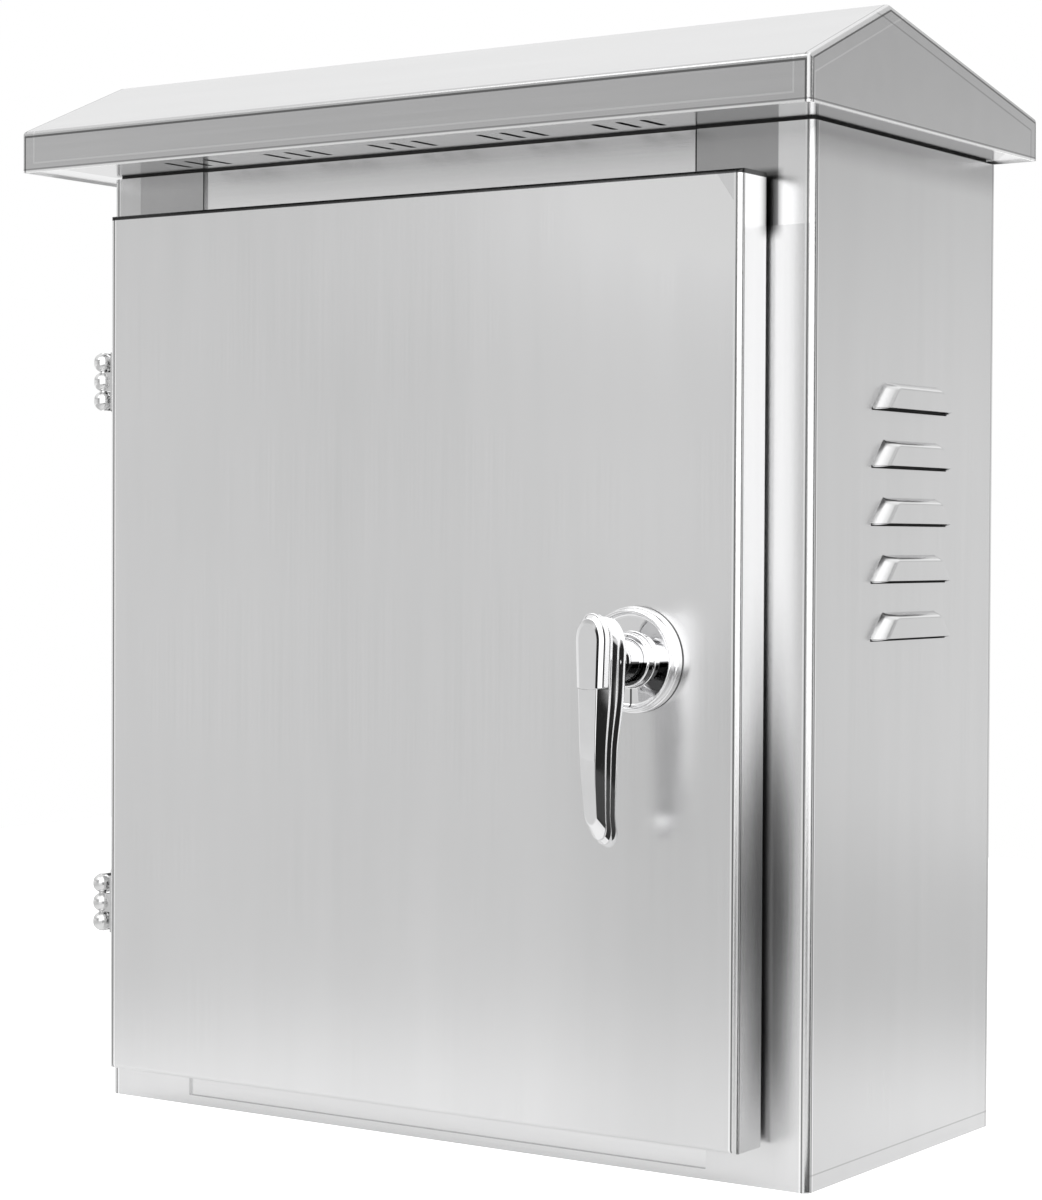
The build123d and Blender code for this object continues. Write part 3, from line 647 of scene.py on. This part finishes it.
def lathe(name, profile, spot, axis, material, segments=96, sharp=40):
    # profile is (radius, distance along the axis); a radius of 0 closes the form
    turn = Vector(axis).to_track_quat("Z", "Y").to_matrix()
    points = []
    for radius, along in profile:
        for step in range(segments):
            angle = 2 * math.pi * step / segments
            local = Vector((radius * math.cos(angle), radius * math.sin(angle), along))
            points.append(Vector(spot) + turn @ local)
    faces = []
    for ring in range(len(profile)):
        after = (ring + 1) % len(profile)
        if after == 0 and profile[0][0] == 0 and profile[-1][0] == 0:
            continue
        for step in range(segments):
            beside = (step + 1) % segments
            faces.append((ring * segments + step, ring * segments + beside,
                          after * segments + beside, after * segments + step))
    piece = meshPiece(name, points, faces, material, sharp)
    cleanPiece(piece)
    smoothPiece(piece, sharp, True)
    return piece


def cutPiece(piece, tool, operation):
    cut = piece.modifiers.new("cut", "BOOLEAN")
    cut.object = tool
    cut.operation = operation
    cut.solver = "EXACT"
    applyModifiers(piece)


# side panels with louvres


def louvreRows(top):
    # every row of the wall: height, and the share of a louvre's height, or None between louvres
    look = louvre
    rows = [(0.0, None)]
    for index in range(look["count"]):
        low = look["low"] + index * look["pitch"]
        rows.append((low - look["slit"], None))
        rows += [(low + look["high"] * step / look["rows"], step / look["rows"])
                 for step in range(look["rows"] + 1)]
    rows += [(top - panelSizes["tabHigh"], None), (top, None)]
    return rows


def louvreColumns(drawn):
    # (distance along the wall, how far out on the round of the end) across one louvre
    look = louvre
    half = (look["length"] - (look["length"] - look["topLength"]) * drawn) / 2
    ramp = [(half - look["endRamp"] * step / look["steps"], 1 - step / look["steps"])
            for step in range(look["steps"] + 1)]
    columns = [(-along, out) for along, out in ramp]
    columns += [(share * (half - look["endRamp"]), 0.0) for share in (-0.33, 0.33)]
    columns += [(along, out) for along, out in reversed(ramp)]
    return [(look["centre"] + along, out) for along, out in columns]


def louvreHeight(share, out):
    # a flat face that rounds off to its ends and its top
    look = louvre
    up = max(0, 1 - (1 - share) * look["high"] / look["topRamp"])
    return look["reach"] * (1 - out ** 2) ** look["endRound"] * (1 - up ** 2) ** look["topRound"]


def sidePanel(name, side, material):
    low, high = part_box(name)
    wall = max(abs(low.x), abs(high.x)) - louvre["reach"]
    bend = panelSizes["bend"]
    rows = louvreRows(high.z)
    grid = []
    for z, share in rows:
        line = [(wall - panelSizes["tab"], low.y), (wall - panelSizes["flange"], low.y)]
        line += [(wall - bend + x, low.y + bend + y) for x, y in arc((0, 0), bend, -90, 0, 8)]
        for y, out in louvreColumns(share or 0):
            line.append((wall + (0 if share is None else louvreHeight(share, out)), y))
        line.append((wall, high.y))
        grid.append([Vector((side * x, y, z)) for x, y in line])
    count = len(grid[0])
    firstOfLouvre = count - 1 - len(louvreColumns(0))
    faces = []
    for row in range(len(rows) - 1):
        underLouvre = rows[row][1] is None and rows[row + 1][1] == 0
        atTab = rows[row][0] >= high.z - panelSizes["tabHigh"] - 1e-6
        first = 0 if atTab else 1
        for column in range(first, count - 1):
            if underLouvre and firstOfLouvre <= column < count - 2:
                continue                 # the open underside of a louvre
            corner = row * count + column
            face = (corner, corner + 1, corner + count + 1, corner + count)
            faces.append(face if side > 0 else face[::-1])
    piece = meshPiece(name + "Skin", [point for line in grid for point in line], faces, material)
    thicken(piece, panelSizes["sheet"])
    applyModifiers(piece)
    smoothPiece(piece, 35, True)
    hand(piece, "cabinet", "stainless_sheet", name)


for name, side in (("left_side_panel", -1), ("right_side_panel", 1)):
    sidePanel(name, side, finishOf["right_side_panel"])
print("side panels with their louvres")

# rain hood


def hoodSection(low, high, inward):
    # the gabled outline with round bends, drawn in by inward; open at the bottom
    bend, steps = hoodSizes["bend"], hoodSizes["steps"]
    fold, below = low.z + hoodSizes["fascia"], low.z - 20 * mm
    ridge = (low.y + hoodSizes["ridgeBack"], high.z + 0.2 * mm)
    corners = [(low.y, below), (low.y, fold), ridge, (high.y, fold), (high.y, below)]
    reach = bend - inward
    if inward > reach:
        reach = 0.0              # drawn in this far, a bend closes to a corner
    points = [(low.y + inward, low.z)]
    for before, here, after in zip(corners, corners[1:], corners[2:]):
        start = (Vector(before) - Vector(here)).normalized()
        end = (Vector(after) - Vector(here)).normalized()
        half = start.angle(end) / 2
        middle = (start + end).normalized()
        centre = Vector(here) + middle * bend / math.sin(half)
        sweep = math.pi - 2 * half
        angle = math.atan2(-middle.y, -middle.x)
        for step in range(steps + 1):
            turn = angle + sweep * (0.5 - step / steps)
            points.append(tuple(centre + Vector((math.cos(turn), math.sin(turn))) * reach))
    points.append((high.y - inward, low.z))
    return points


def roofHood(material):
    low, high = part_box("roof_hood")
    bend, steps = hoodSizes["bend"], hoodSizes["steps"]
    stations = []
    for side in (-1, 1):
        ends = [(high.x - bend + x, bend - y) for x, y in arc((0, 0), bend, 90, 0, steps)]
        stations += [(side * x, inward) for x, inward in (ends if side > 0 else ends[::-1])]
    points, faces = [], []
    for x, inward in stations:
        points += [Vector((x, y, z)) for y, z in hoodSection(low, high, inward)]
    count = len(points) // len(stations)
    for station in range(len(stations) - 1):
        for step in range(count - 1):
            corner = station * count + step
            faces.append((corner, corner + 1, corner + count + 1, corner + count))
    faces.append(tuple(range(count))[::-1])
    faces.append(tuple((len(stations) - 1) * count + step for step in range(count)))
    piece = meshPiece("roofHood", points, faces, material)
    cleanPiece(piece, False)
    thicken(piece, hoodSizes["sheet"])
    bevelEdges(piece, hoodSizes["edge"], 60)
    applyModifiers(piece)
    smoothPiece(piece, 35, True)
    hand(piece, "cabinet", "stainless_sheet", "roof_hood", "roof_gable_left", "roof_gable_right")


roofHood(finishOf["roof_hood"])
print("rain hood")

# handle

handleLow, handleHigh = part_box("housing_gasket")
doorFace = handleHigh.y
handleSpot = Vector(((handleLow.x + handleHigh.x) / 2, doorFace, (handleLow.z + handleHigh.z) / 2))
roseSizes = {
    "radius": 25.2,
    "rim": 22.3,
    "high": 9.0,
    "dish": 5.4,
    "collar": 13.0,
    "collarHigh": 10.6,
    "bore": 10.05,
    "socket": 4.0,
    "gasket": 0.8,
    "barrel": 11.0,
    "barrelLong": 16.0,     # behind the face of the door
    "thread": 1.0,
    "spindle": 6.05,
    "rounded": 0.9,
    # painted shade marks: from and to outwards, and the share of the tone
    "dishInner": (13.4 * mm, 13.8 * mm),
    "dishOuter": (22.4 * mm, 22.0 * mm),
    "dishShade": 0.12,
    "index": 0.10,
    "collarShade": 0.12,
    "stemShade": 0.06,
}


def roseMarks(here):
    # painted shade in the lower dish and inside the collar, and a dark line in the dish straight down from
    # the axis
    look = roseSizes
    x, y, z = here.axes()
    across = x - handleSpot.x
    up = z - handleSpot.z
    reach = (across * across + up * up).root()
    inDish = reach.step(*look["dishInner"]) * reach.step(*look["dishOuter"])
    lower = up.step(-0.5 * mm, -1.5 * mm)
    return [(inDish * lower * (across + up * 0.9).step(-4 * mm, 0), look["dishShade"]),
            (inDish * line(across, 0.0, 1.0 * mm) * lower, look["index"]),
            (reach.step(12.4 * mm, 11.8 * mm) * lower, look["collarShade"])]


# painted shade on the lower half of the stem
def stemMarks(here):
    x, y, z = here.axes()
    return [((z - handleSpot.z).step(-0.4 * mm, -1.4 * mm), roseSizes["stemShade"])]


def roseProfile(look):
    # from the bore outwards over collar, dish and rim, then back along the threaded barrel
    top, dish, rounded = look["high"], look["dish"], look["rounded"]
    yield look["spindle"], look["socket"]
    yield look["bore"], look["socket"]
    yield look["bore"], look["collarHigh"] - 0.7
    yield from arc((look["bore"] + 0.7, look["collarHigh"] - 0.7), 0.7, 180, 90, 5)
    yield from arc((look["collar"] - 1.1, look["collarHigh"] - 1.1), 1.1, 90, 0, 7)
    yield from arc((look["collar"] + rounded, dish + rounded), rounded, 180, 270, 6)
    yield from arc((look["rim"] - 2.2, dish + 2.2), 2.2, 270, 360, 8)
    yield from arc((look["rim"] + 0.6, top - 0.6), 0.6, 180, 90, 5)
    yield from arc((look["radius"] - 1.2 - rounded, top - rounded), rounded, 90, 0, 7)
    yield from arc((look["radius"] - 0.9, top / 2 + 0.3), 0.3, 180, 270, 4)
    yield from arc((look["radius"] - 0.8, top / 2 - 0.8), 0.8, 90, 0, 6)
    yield look["radius"], look["gasket"]
    yield look["barrel"] + 0.02, look["gasket"]
    yield look["barrel"], -2.0
    turns = int((look["barrelLong"] - 3.0) / look["thread"])
    for turn in range(turns):
        start = -2.2 - turn * look["thread"]
        yield look["barrel"] - 0.45, start - 0.25 * look["thread"]
        yield look["barrel"] - 0.02, start - 0.75 * look["thread"]
    yield look["barrel"] - 0.9, -look["barrelLong"]
    yield look["spindle"], -look["barrelLong"]


rose = lathe("handleRose", [(r * mm, d * mm) for r, d in roseProfile(roseSizes)], handleSpot, front,
             chromePlate("chromeRose", roseMarks), 128, 30)
hand(rose, "door", "chrome", "handle_housing")

leverSizes = {
    "headRadius": 8.0,
    "tipRadius": 5.0,
    "above": 22.6,          # top of the head over the axis
    "headStretch": 1.6,     # the head's arch is taller than a half circle
    "headDrop": 4.5,        # and lower at the back,
    "dropFrom": 0.25,       # from this share of the depth
    "tipStretch": 1.7,
    "below": 85.0,
    "depth": 19.0,
    "hollow": 4.0,          # the back draws in between head and toe
    "hollowUnder": 13.0,
    "hollowLong": 30.0,
    "toeHigh": 14.0,
    "tipBack": 4.0,         # the front runs back towards the tip
    "tipBackUnder": 26.0,
    "tipRound": 6.5,
    "stemRadius": 10.0,
    "stemEnd": 4.1,         # in front of the door
    "seam": 26.4,
    "pinUp": 14.0,
    "cover": 6.0,
    "gap": 0.3,
    "edge": 0.25,
    "lock": 7.05,
    "lockDeep": 11.4,
}
# (outward from the base outline, back from the front face)
innerFace = [(-7.7, -0.42), (-6.6, -0.42), (-5.2, -0.41), (-3.9, -0.38), (-2.9, -0.34), (-2.3, -0.3)]
coverEdge = [(-7.7, -0.50), (-6.6, -0.50), (-5.2, -0.49), (-3.9, -0.46), (-3.2, -0.43), (-2.95, -0.40),
             (-1.8, -0.21), (-1.58, -0.17), (-1.42, 0.0), (-1.28, 0.3), (-0.7, 1.0), (-0.15, 2.0),
             (0.05, 3.0)]
gripEdge = innerFace + [(-2.15, -0.2), (-2.05, 0.0), (-1.95, 0.3), (-0.1, 7.1)]
leverRear = [(-0.02, 7.6), (-0.2, 8.1), (-0.22, 8.7), (-0.18, 9.1), (0.66, 11.9), (0.68, 12.5), (0.55, 13.0),
             (0.18, 13.4), (0.18, 13.8), (0.55, 15.0), (0.88, 16.1), (1.14, 17.0), (1.26, 17.7), (1.28, 18.2),
             (1.15, 18.65), (0.85, 18.9), (0.3, 19.0), (-1.0, 19.0), (-3.2, 18.8)]
headSteps, flankSteps, tipSteps = 40, 30, 28


def leverOutline(look, outward, depthShare):
    # head arc, right flank, tip arc, left flank, seen from the front round the handle's axis
    head = look["headRadius"] + outward
    tip = max(look["tipRadius"] + outward * 0.8, 0.02 + 0.3 * (1 + outward / look["headRadius"]))
    drop = look["headDrop"] * smooth((depthShare - look["dropFrom"]) / (1 - look["dropFrom"]))
    headZ = look["above"] - look["headRadius"] * look["headStretch"] - drop
    lift = look["tipRound"] * (1 - depthShare) ** 2
    tipZ = -look["below"] + look["tipRadius"] * look["tipStretch"] + lift
    lean = math.degrees(math.asin((head - tip) / (headZ - tipZ)))
    headArc = [(x, headZ + (z - headZ) * (look["headStretch"] if z > headZ else 1))
               for x, z in arc((0, headZ), head, 180 + lean, -lean, headSteps)]
    tipArc = [(x, tipZ + (z - tipZ) * (look["tipStretch"] if z < tipZ else 1))
              for x, z in arc((0, tipZ), tip, -lean, -180 + lean, tipSteps)]
    flank = []
    for step in range(1, flankSteps):
        share = step / flankSteps
        flank.append(tuple(headArc[-1][axis] * (1 - share) + tipArc[0][axis] * share for axis in (0, 1)))
    rest = [(-x, z) for x, z in reversed(flank)]
    return headArc + flank + tipArc + rest


def leverForm(name, profile, look, material):
    points, faces = [], []
    for outward, back in profile:
        ring = leverOutline(look, outward, max(0, back) / look["depth"])
        for x, z in ring:
            up = z + look["below"]
            hollow = look["hollow"] * smooth(up / look["toeHigh"])
            hollow *= smooth((-look["hollowUnder"] - z) / look["hollowLong"])
            runLong = look["below"] - look["tipBackUnder"]
            run = look["tipBack"] * smooth((runLong - up) / runLong) ** 2
            y = run + back * (look["depth"] - hollow - run) / look["depth"]
            points.append(leverPoint(x, y, z))
    count = len(points) // len(profile)
    for ring in range(len(profile) - 1):
        for step in range(count):
            beside = (step + 1) % count
            faces.append((ring * count + step, ring * count + beside,
                          (ring + 1) * count + beside, (ring + 1) * count + step))
    faces += capFaces(0, count) + capFaces((len(profile) - 1) * count, count)
    piece = meshPiece(name, points, faces, material, 30)
    cleanPiece(piece)
    return piece


def capFaces(start, count):
    # fills a lever outline with strips from its right to its left flank
    faces = []
    middle, flank = headSteps // 2, flankSteps - 1
    for step in range(middle):
        right, left = start + middle + step, start + middle - step
        faces.append((left, right, right + 1, left - 1))
    for step in range(flank):
        right, left = start + headSteps + step, start + count - step
        faces.append((start + (count - step) % count, right, right + 1, left - 1))
    for step in range(tipSteps // 2 + 1):
        right, left = start + headSteps + flank + step, start + count - flank - step
        faces.append((left, right, right + 1, left - 1))
    return [tuple(dict.fromkeys(face)) for face in faces]


def smooth(share):
    share = min(1, max(0, share))
    return share * share * (3 - 2 * share)


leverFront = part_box("key_cover")[0].y


def leverPoint(x, y, z):
    return Vector((handleSpot.x + x * mm, leverFront + y * mm, handleSpot.z + z * mm))


def drum(name, radius, start, end, up=0):
    # a plain cutting drum along the handle's axis, in lever millimetres
    long = (end - start) * mm
    return lathe(name, [(0, 0), (radius * mm, 0), (radius * mm, long), (0, long)],
                 leverPoint(0, start, up), (0, 1, 0), finishes["chrome"], 128)


leverBody = leverForm("handleLever", gripEdge + leverRear, leverSizes, finishes["chrome"])
coverBody = leverForm("keyCover", coverEdge + leverRear, leverSizes, finishes["chrome"])
cover, gap, seam = leverSizes["cover"], leverSizes["gap"], leverSizes["seam"]
seamIn = drum("seamIn", seam, -3, cover, leverSizes["pinUp"])
seamOut = drum("seamOut", seam + gap, -3, cover + gap, leverSizes["pinUp"])
lockBore = drum("lockBore", leverSizes["lock"], cover - 1, cover + leverSizes["lockDeep"])
cutPiece(coverBody, seamIn, "INTERSECT")
cutPiece(leverBody, seamOut, "DIFFERENCE")
cutPiece(leverBody, lockBore, "DIFFERENCE")
for tool in (seamIn, seamOut, lockBore):
    bpy.data.objects.remove(tool)
for piece in (leverBody, coverBody):
    bevelEdges(piece, leverSizes["edge"] * mm, 50)
    applyModifiers(piece)
    smoothPiece(piece, 32, True)

stemSizes = {
    "radius": leverSizes["stemRadius"],
    "start": leverSizes["depth"] - 1.0,
    "end": (doorFace - leverFront) / mm - leverSizes["stemEnd"],
    "socket": 6.1,
    "socketDeep": 9.0,
}


def stemProfile(look):
    radius, start, end = look["radius"], look["start"], look["end"]
    socket, deep = look["socket"], end - look["socketDeep"]
    return [(0, start - 3), (radius - 1.6, start - 3), (radius - 1.2, start + 0.4),
            (radius - 0.5, start + 2.2), (radius, start + 3.4), (radius, end), (socket, end),
            (socket, deep), (0, deep)]


stem = lathe("handleStem", [(r * mm, d * mm) for r, d in stemProfile(stemSizes)], leverPoint(0, 0, 0),
             (0, 1, 0), chromePlate("chromeStem", stemMarks), 96, 50)
hand(leverBody, "handle", "chrome", "handle_lever")
hand(stem, "handle", "chrome")
hand(coverBody, "key_cover", "chrome", "key_cover")
print("handle")

# nuts and studs

fixings = {
    "roofFixings": {"spots": [(x * 170 * mm, y * 57.5 * mm, 492.3 * mm) for x in (-1, 1) for y in (-1, 1)],
                    "axis": (0, 0, 1), "radius": 3 * mm, "start": -3 * mm, "long": 11.9 * mm, "pitch": 1 * mm,
                    "nut": 5.7735 * mm, "nutHigh": 5 * mm, "nodes": ("roof_studs", "roof_nuts")},
    "plateFixings": {"spots": [(x * 155 * mm, 72.3 * mm, z * mm) for x in (-1, 1) for z in (60, 440)],
                     "axis": (0, 1, 0), "radius": 4 * mm, "start": -8.3 * mm, "long": 32 * mm,
                     "pitch": 1.25 * mm, "nut": 7.5 * mm, "nutHigh": 6.5 * mm,
                     "nodes": ("plate_studs", "plate_nuts")},
}
threadRoot = 0.86           # as a share of the stud's radius


def fixingTree():
    # a threaded stud with its nut at every point of the mesh, along its own Z
    tree = bpy.data.node_groups.new("threadedFixings", "GeometryNodeTree")
    tree.interface.new_socket("Geometry", in_out="INPUT", socket_type="NodeSocketGeometry")
    for name in ("Radius", "Start", "Long", "Pitch", "Nut Radius", "Nut Height"):
        tree.interface.new_socket(name, in_out="INPUT", socket_type="NodeSocketFloat")
    tree.interface.new_socket("Turn", in_out="INPUT", socket_type="NodeSocketRotation")
    tree.interface.new_socket("Finish", in_out="INPUT", socket_type="NodeSocketMaterial")
    tree.interface.new_socket("Geometry", in_out="OUTPUT", socket_type="NodeSocketGeometry")
    start = Wire(tree)
    size = start.put("NodeGroupInput")
    radius, begin, reach = size.other("Radius"), size.other("Start"), size.other("Long")
    pitch, nutRadius, nutHeight = size.other("Pitch"), size.other("Nut Radius"), size.other("Nut Height")

    def place(shape, height):
        spot = start.put("ShaderNodeCombineXYZ", None, {"Z": height})
        return start.put("GeometryNodeTransform", None, {"Geometry": shape, "Translation": spot})

    def prism(vertices, radiusHere, depth):
        return start.put("GeometryNodeMeshCylinder", None,
                         {"Vertices": vertices, "Radius": radiusHere, "Depth": depth})

    root = radius * threadRoot
    core = place(prism(24, root, reach - pitch * 0.2), begin + reach * 0.5)
    ridge = start.put("GeometryNodeMeshCone", None,
                      {"Vertices": 24, "Radius Top": root, "Radius Bottom": radius, "Depth": pitch * 0.4})
    under = start.put("GeometryNodeTransform", None, {"Geometry": ridge, "Scale": (1, 1, -1)})
    under = start.put("GeometryNodeFlipFaces", None, {"Mesh": under})
    step = start.put("ShaderNodeCombineXYZ", None, {"Z": pitch})
    first = start.put("ShaderNodeCombineXYZ", None, {"Z": begin + pitch * 0.5})
    row = start.put("GeometryNodeMeshLine", None,
                    {"Count": (reach / pitch - 1).whole(), "Start Location": first, "Offset": step})
    ridges = start.put("GeometryNodeJoinGeometry")
    for part in (ridge, under):
        tree.links.new(part.socket, ridges.socket.node.inputs[0])
    thread = start.put("GeometryNodeInstanceOnPoints", None, {"Points": row, "Instance": ridges})
    nut = place(prism(6, nutRadius, nutHeight * 0.9), nutHeight * 0.5)
    collar = place(prism(36, nutRadius * 0.85, nutHeight), nutHeight * 0.5)
    stud = start.put("GeometryNodeJoinGeometry")
    for part in (core, thread, nut, collar):
        tree.links.new(part.socket, stud.socket.node.inputs[0])
    placed = start.put("GeometryNodeInstanceOnPoints", None,
                       {"Points": size, "Instance": stud, "Rotation": size.other("Turn")})
    real = start.put("GeometryNodeRealizeInstances", None, {"Geometry": placed})
    done = start.put("GeometryNodeSetMaterial", None, {"Geometry": real, "Material": size.other("Finish")})
    start.put("NodeGroupOutput", None, {"Geometry": done})
    return tree


def makeFixings(name, look, tree):
    piece = meshPiece(name, look["spots"], [], finishes["zinc_fixings"])
    grow = piece.modifiers.new("fixings", "NODES")
    grow.node_group = tree
    turn = Vector(look["axis"]).to_track_quat("Z", "Y").to_euler()
    values = {"Radius": look["radius"], "Start": look["start"], "Long": look["long"], "Pitch": look["pitch"],
              "Nut Radius": look["nut"], "Nut Height": look["nutHigh"], "Turn": tuple(turn),
              "Finish": finishes["zinc_fixings"]}
    for socket in tree.interface.items_tree:
        if socket.in_out == "INPUT" and socket.name in values:
            grow[socket.identifier] = values[socket.name]
    applyModifiers(piece)
    smoothPiece(piece, 30)
    hand(piece, "cabinet", "zinc_fixings", *look["nodes"])


tree = fixingTree()
for name, look in fixings.items():
    makeFixings(name, look, tree)
print("nuts and studs")

# camera

cameraPlace = {
    "spot": (0.8615, -1.2930, 0.3035),
    "yaw": 34.063,        # degrees, turned from +Y towards -X
    "pitch": 1.141,       # down
    "roll": 0.271,
    "lens": 87.375,
}


def makeCamera(place):
    yaw, pitch, roll = (math.radians(place[key]) for key in ("yaw", "pitch", "roll"))
    ahead = Vector((-math.sin(yaw) * math.cos(pitch), math.cos(yaw) * math.cos(pitch), -math.sin(pitch)))
    level = Vector((math.cos(yaw), math.sin(yaw), 0))
    upright = level.cross(ahead)
    right = math.cos(roll) * level + math.sin(roll) * upright
    up = math.cos(roll) * upright - math.sin(roll) * level
    camera = bpy.data.objects.new("camera", bpy.data.cameras.new("camera"))
    camera.data.lens = place["lens"]
    camera.data.sensor_width = 36
    camera.data.clip_end = 50
    turn = Matrix((right, up, -ahead)).transposed().to_4x4()
    camera.matrix_world = Matrix.Translation(place["spot"]) @ turn
    bpy.context.collection.objects.link(camera)
    bpy.context.scene.camera = camera


makeCamera(cameraPlace)

# studio

studio = {
    "floorTone": 0.44,
    "floorGlow": 0.14,
    "floorNearGlow": 0.34,     # painted pool of light: the floor glows lighter close to the cabinet
    "nearFrom": (0.72, 0.24),
    "floorShown": 0.75,    # extra white that only the eye of the camera gets
    "floorSize": 2.6,
    "cameraSide": 1.55,    # bright wall behind the camera
    "cameraFrom": (-9, -4),
    "cameraTo": (98, 92),
    "cameraOver": (-0.42, -0.30),
    "darkStrips": ((-20, -9), (96, 121)),     # dark flags, in degrees from the front
    "darkStrip": 0.02,
    "darkSoft": 3,
    "darkUnder": (0.6, 0.4),
    "rearGain": 1.18,      # the wall behind, on the right
    "rearFrom": (124, 132),
    "leftGain": 1.35,
    "leftFrom": (-42, -55),
    "leftUnder": (0.4, 0.15),
    "cardSpot": 0.70,      # a dark card that stands in front on the right
    "cardSize": (0.50, 0.115),
    "cardShift": (0.1, -0.05, 0),
    "floorCard": (0.09, 1.30),     # where the strip on the floor begins and ends
    "floorCardTurn": (93, 123),
    "keySpot": (-0.9, -2.2, 2.2),
    "keyAim": (0, 0, 0.3),
    "keySize": (1.6, 1.2),
    "keyPower": 9.0,
}
# from straight down to straight up
skyStops = [(0.00, 0.80), (0.40, 0.80), (0.475, 0.68), (0.525, 0.66), (0.555, 0.76), (0.572, 0.52),
            (0.59, 0.45), (0.62, 0.52), (0.70, 0.92), (0.80, 0.96), (1.00, 1.00)]


def studioWorld(look):
    world = bpy.data.worlds.new("studio")
    bpy.context.scene.world = world
    world.use_nodes = True
    tree = world.node_tree
    tree.nodes.clear()
    start = Wire(tree)
    way = start.put("ShaderNodeTexCoord").other("Generated")
    x, y, z = way.axes()
    around = start.maths("ARCTAN2", x, -y) * math.degrees(1)      # 0 in front, 90 on the right
    tone = start.put("ShaderNodeValToRGB", {"stops": skyStops}, {0: z * 0.5 + 0.5})
    tone = start.put("ShaderNodeSeparateColor", None, {0: tone})
    behind = around.step(*look["rearFrom"])
    tone = tone * (behind * (look["rearGain"] - 1) + 1)
    leftSide = around.step(*look["leftFrom"]) * z.step(*look["leftUnder"])
    tone = tone * (leftSide * (look["leftGain"] - 1) + 1)
    cameraSide = around.step(*look["cameraFrom"]) * around.step(*look["cameraTo"])
    cameraSide = cameraSide * z.step(*look["cameraOver"])
    tone = tone * (1 - cameraSide) + cameraSide * look["cameraSide"]
    for first, last in look["darkStrips"]:
        strip = around.step(first, first + look["darkSoft"]) * around.step(last, last - look["darkSoft"])
        strip = strip * z.step(*look["darkUnder"])
        tone = tone * (1 - strip) + strip * look["darkStrip"]
    colour = mixColour(start, tone * 0.5, grey(0), grey(2))
    glow = start.put("ShaderNodeBackground", None, {"Color": colour, "Strength": 1.0})
    plain = start.put("ShaderNodeBackground", None, {"Color": (1, 1, 1, 1), "Strength": 1.0})
    seen = start.put("ShaderNodeLightPath")
    start.put("ShaderNodeOutputWorld", None,
              {"Surface": start.put("ShaderNodeMixShader", None, {0: seen, 1: glow, 2: plain})})


def floorPaper(look):
    material, start, here = newMaterial("floorPaper")
    seen = start.put("ShaderNodeLightPath")
    x, y, z = here.axes()
    near = (x * x + y * y).root().step(*look["nearFrom"]) * look["floorNearGlow"]
    level = seen * look["floorShown"] + near + look["floorGlow"]
    glow = mixColour(start, level * 0.5, grey(0), grey(2))
    finishMaterial(start, {"Base Color": grey(look["floorTone"]), "Roughness": 0.9, "Emission Color": glow,
                           "Emission Strength": 1.0})
    return material


def flatPiece(name, corners, material):
    mesh = bpy.data.meshes.new(name)
    mesh.from_pydata(corners, [], [list(range(len(corners)))])
    mesh.materials.append(material)
    piece = bpy.data.objects.new(name, mesh)
    bpy.context.collection.objects.link(piece)
    return piece


def mirrorOnly(name, corners):
    # a dark card that only reflections see
    material, start, here = newMaterial("cardPaper")
    finishMaterial(start, {"Base Color": grey(0.01), "Roughness": 0.9})
    card = flatPiece(name, corners, material)
    card.visible_camera = card.visible_diffuse = card.visible_shadow = False
    return card


def softbox(name, spot, aim, size, power):
    lamp = bpy.data.lights.new(name, "AREA")
    lamp.shape = "RECTANGLE"
    lamp.size, lamp.size_y = size
    lamp.energy = power
    thing = bpy.data.objects.new(name, lamp)
    thing.location = spot
    thing.rotation_euler = (Vector(aim) - Vector(spot)).to_track_quat("-Z", "Y").to_euler()
    bpy.context.collection.objects.link(thing)


def darkCard(look):
    # stands on the floor towards the camera
    outward = Vector(cameraPlace["spot"]) * Vector((1, 1, 0))
    outward.normalize()
    wide, high = look["cardSize"]
    across = Vector((-outward.y, outward.x, 0)) * wide / 2
    foot = outward * look["cardSpot"] + Vector(look["cardShift"])
    top = Vector((0, 0, high))
    return mirrorOnly("darkCard", [foot - across, foot + across, foot + across + top, foot - across + top])


def floorCard(look):
    # lies on the floor beside the handle
    spot = Vector((handleSpot.x, handleSpot.y - 20 * mm, 0.6 * mm))
    near, far = look["floorCard"]
    turns = [math.radians(turn) for turn in look["floorCardTurn"]]
    first, last = [Vector((math.sin(turn), -math.cos(turn), 0)) for turn in turns]
    corners = [first * near, first * far, last * far, last * near]
    return mirrorOnly("floorCard", [spot + corner for corner in corners])


bpy.context.scene.view_settings.view_transform = "Standard"
studioWorld(studio)
half = studio["floorSize"] / 2
floor = flatPiece("floor", [(x * half, y * half, -mm / 2) for x, y in ((-1, -1), (1, -1), (1, 1), (-1, 1))],
                  floorPaper(studio))
darkCard(studio)
floorCard(studio)
softbox("keyLight", studio["keySpot"], studio["keyAim"], studio["keySize"], studio["keyPower"])
print("camera and studio")
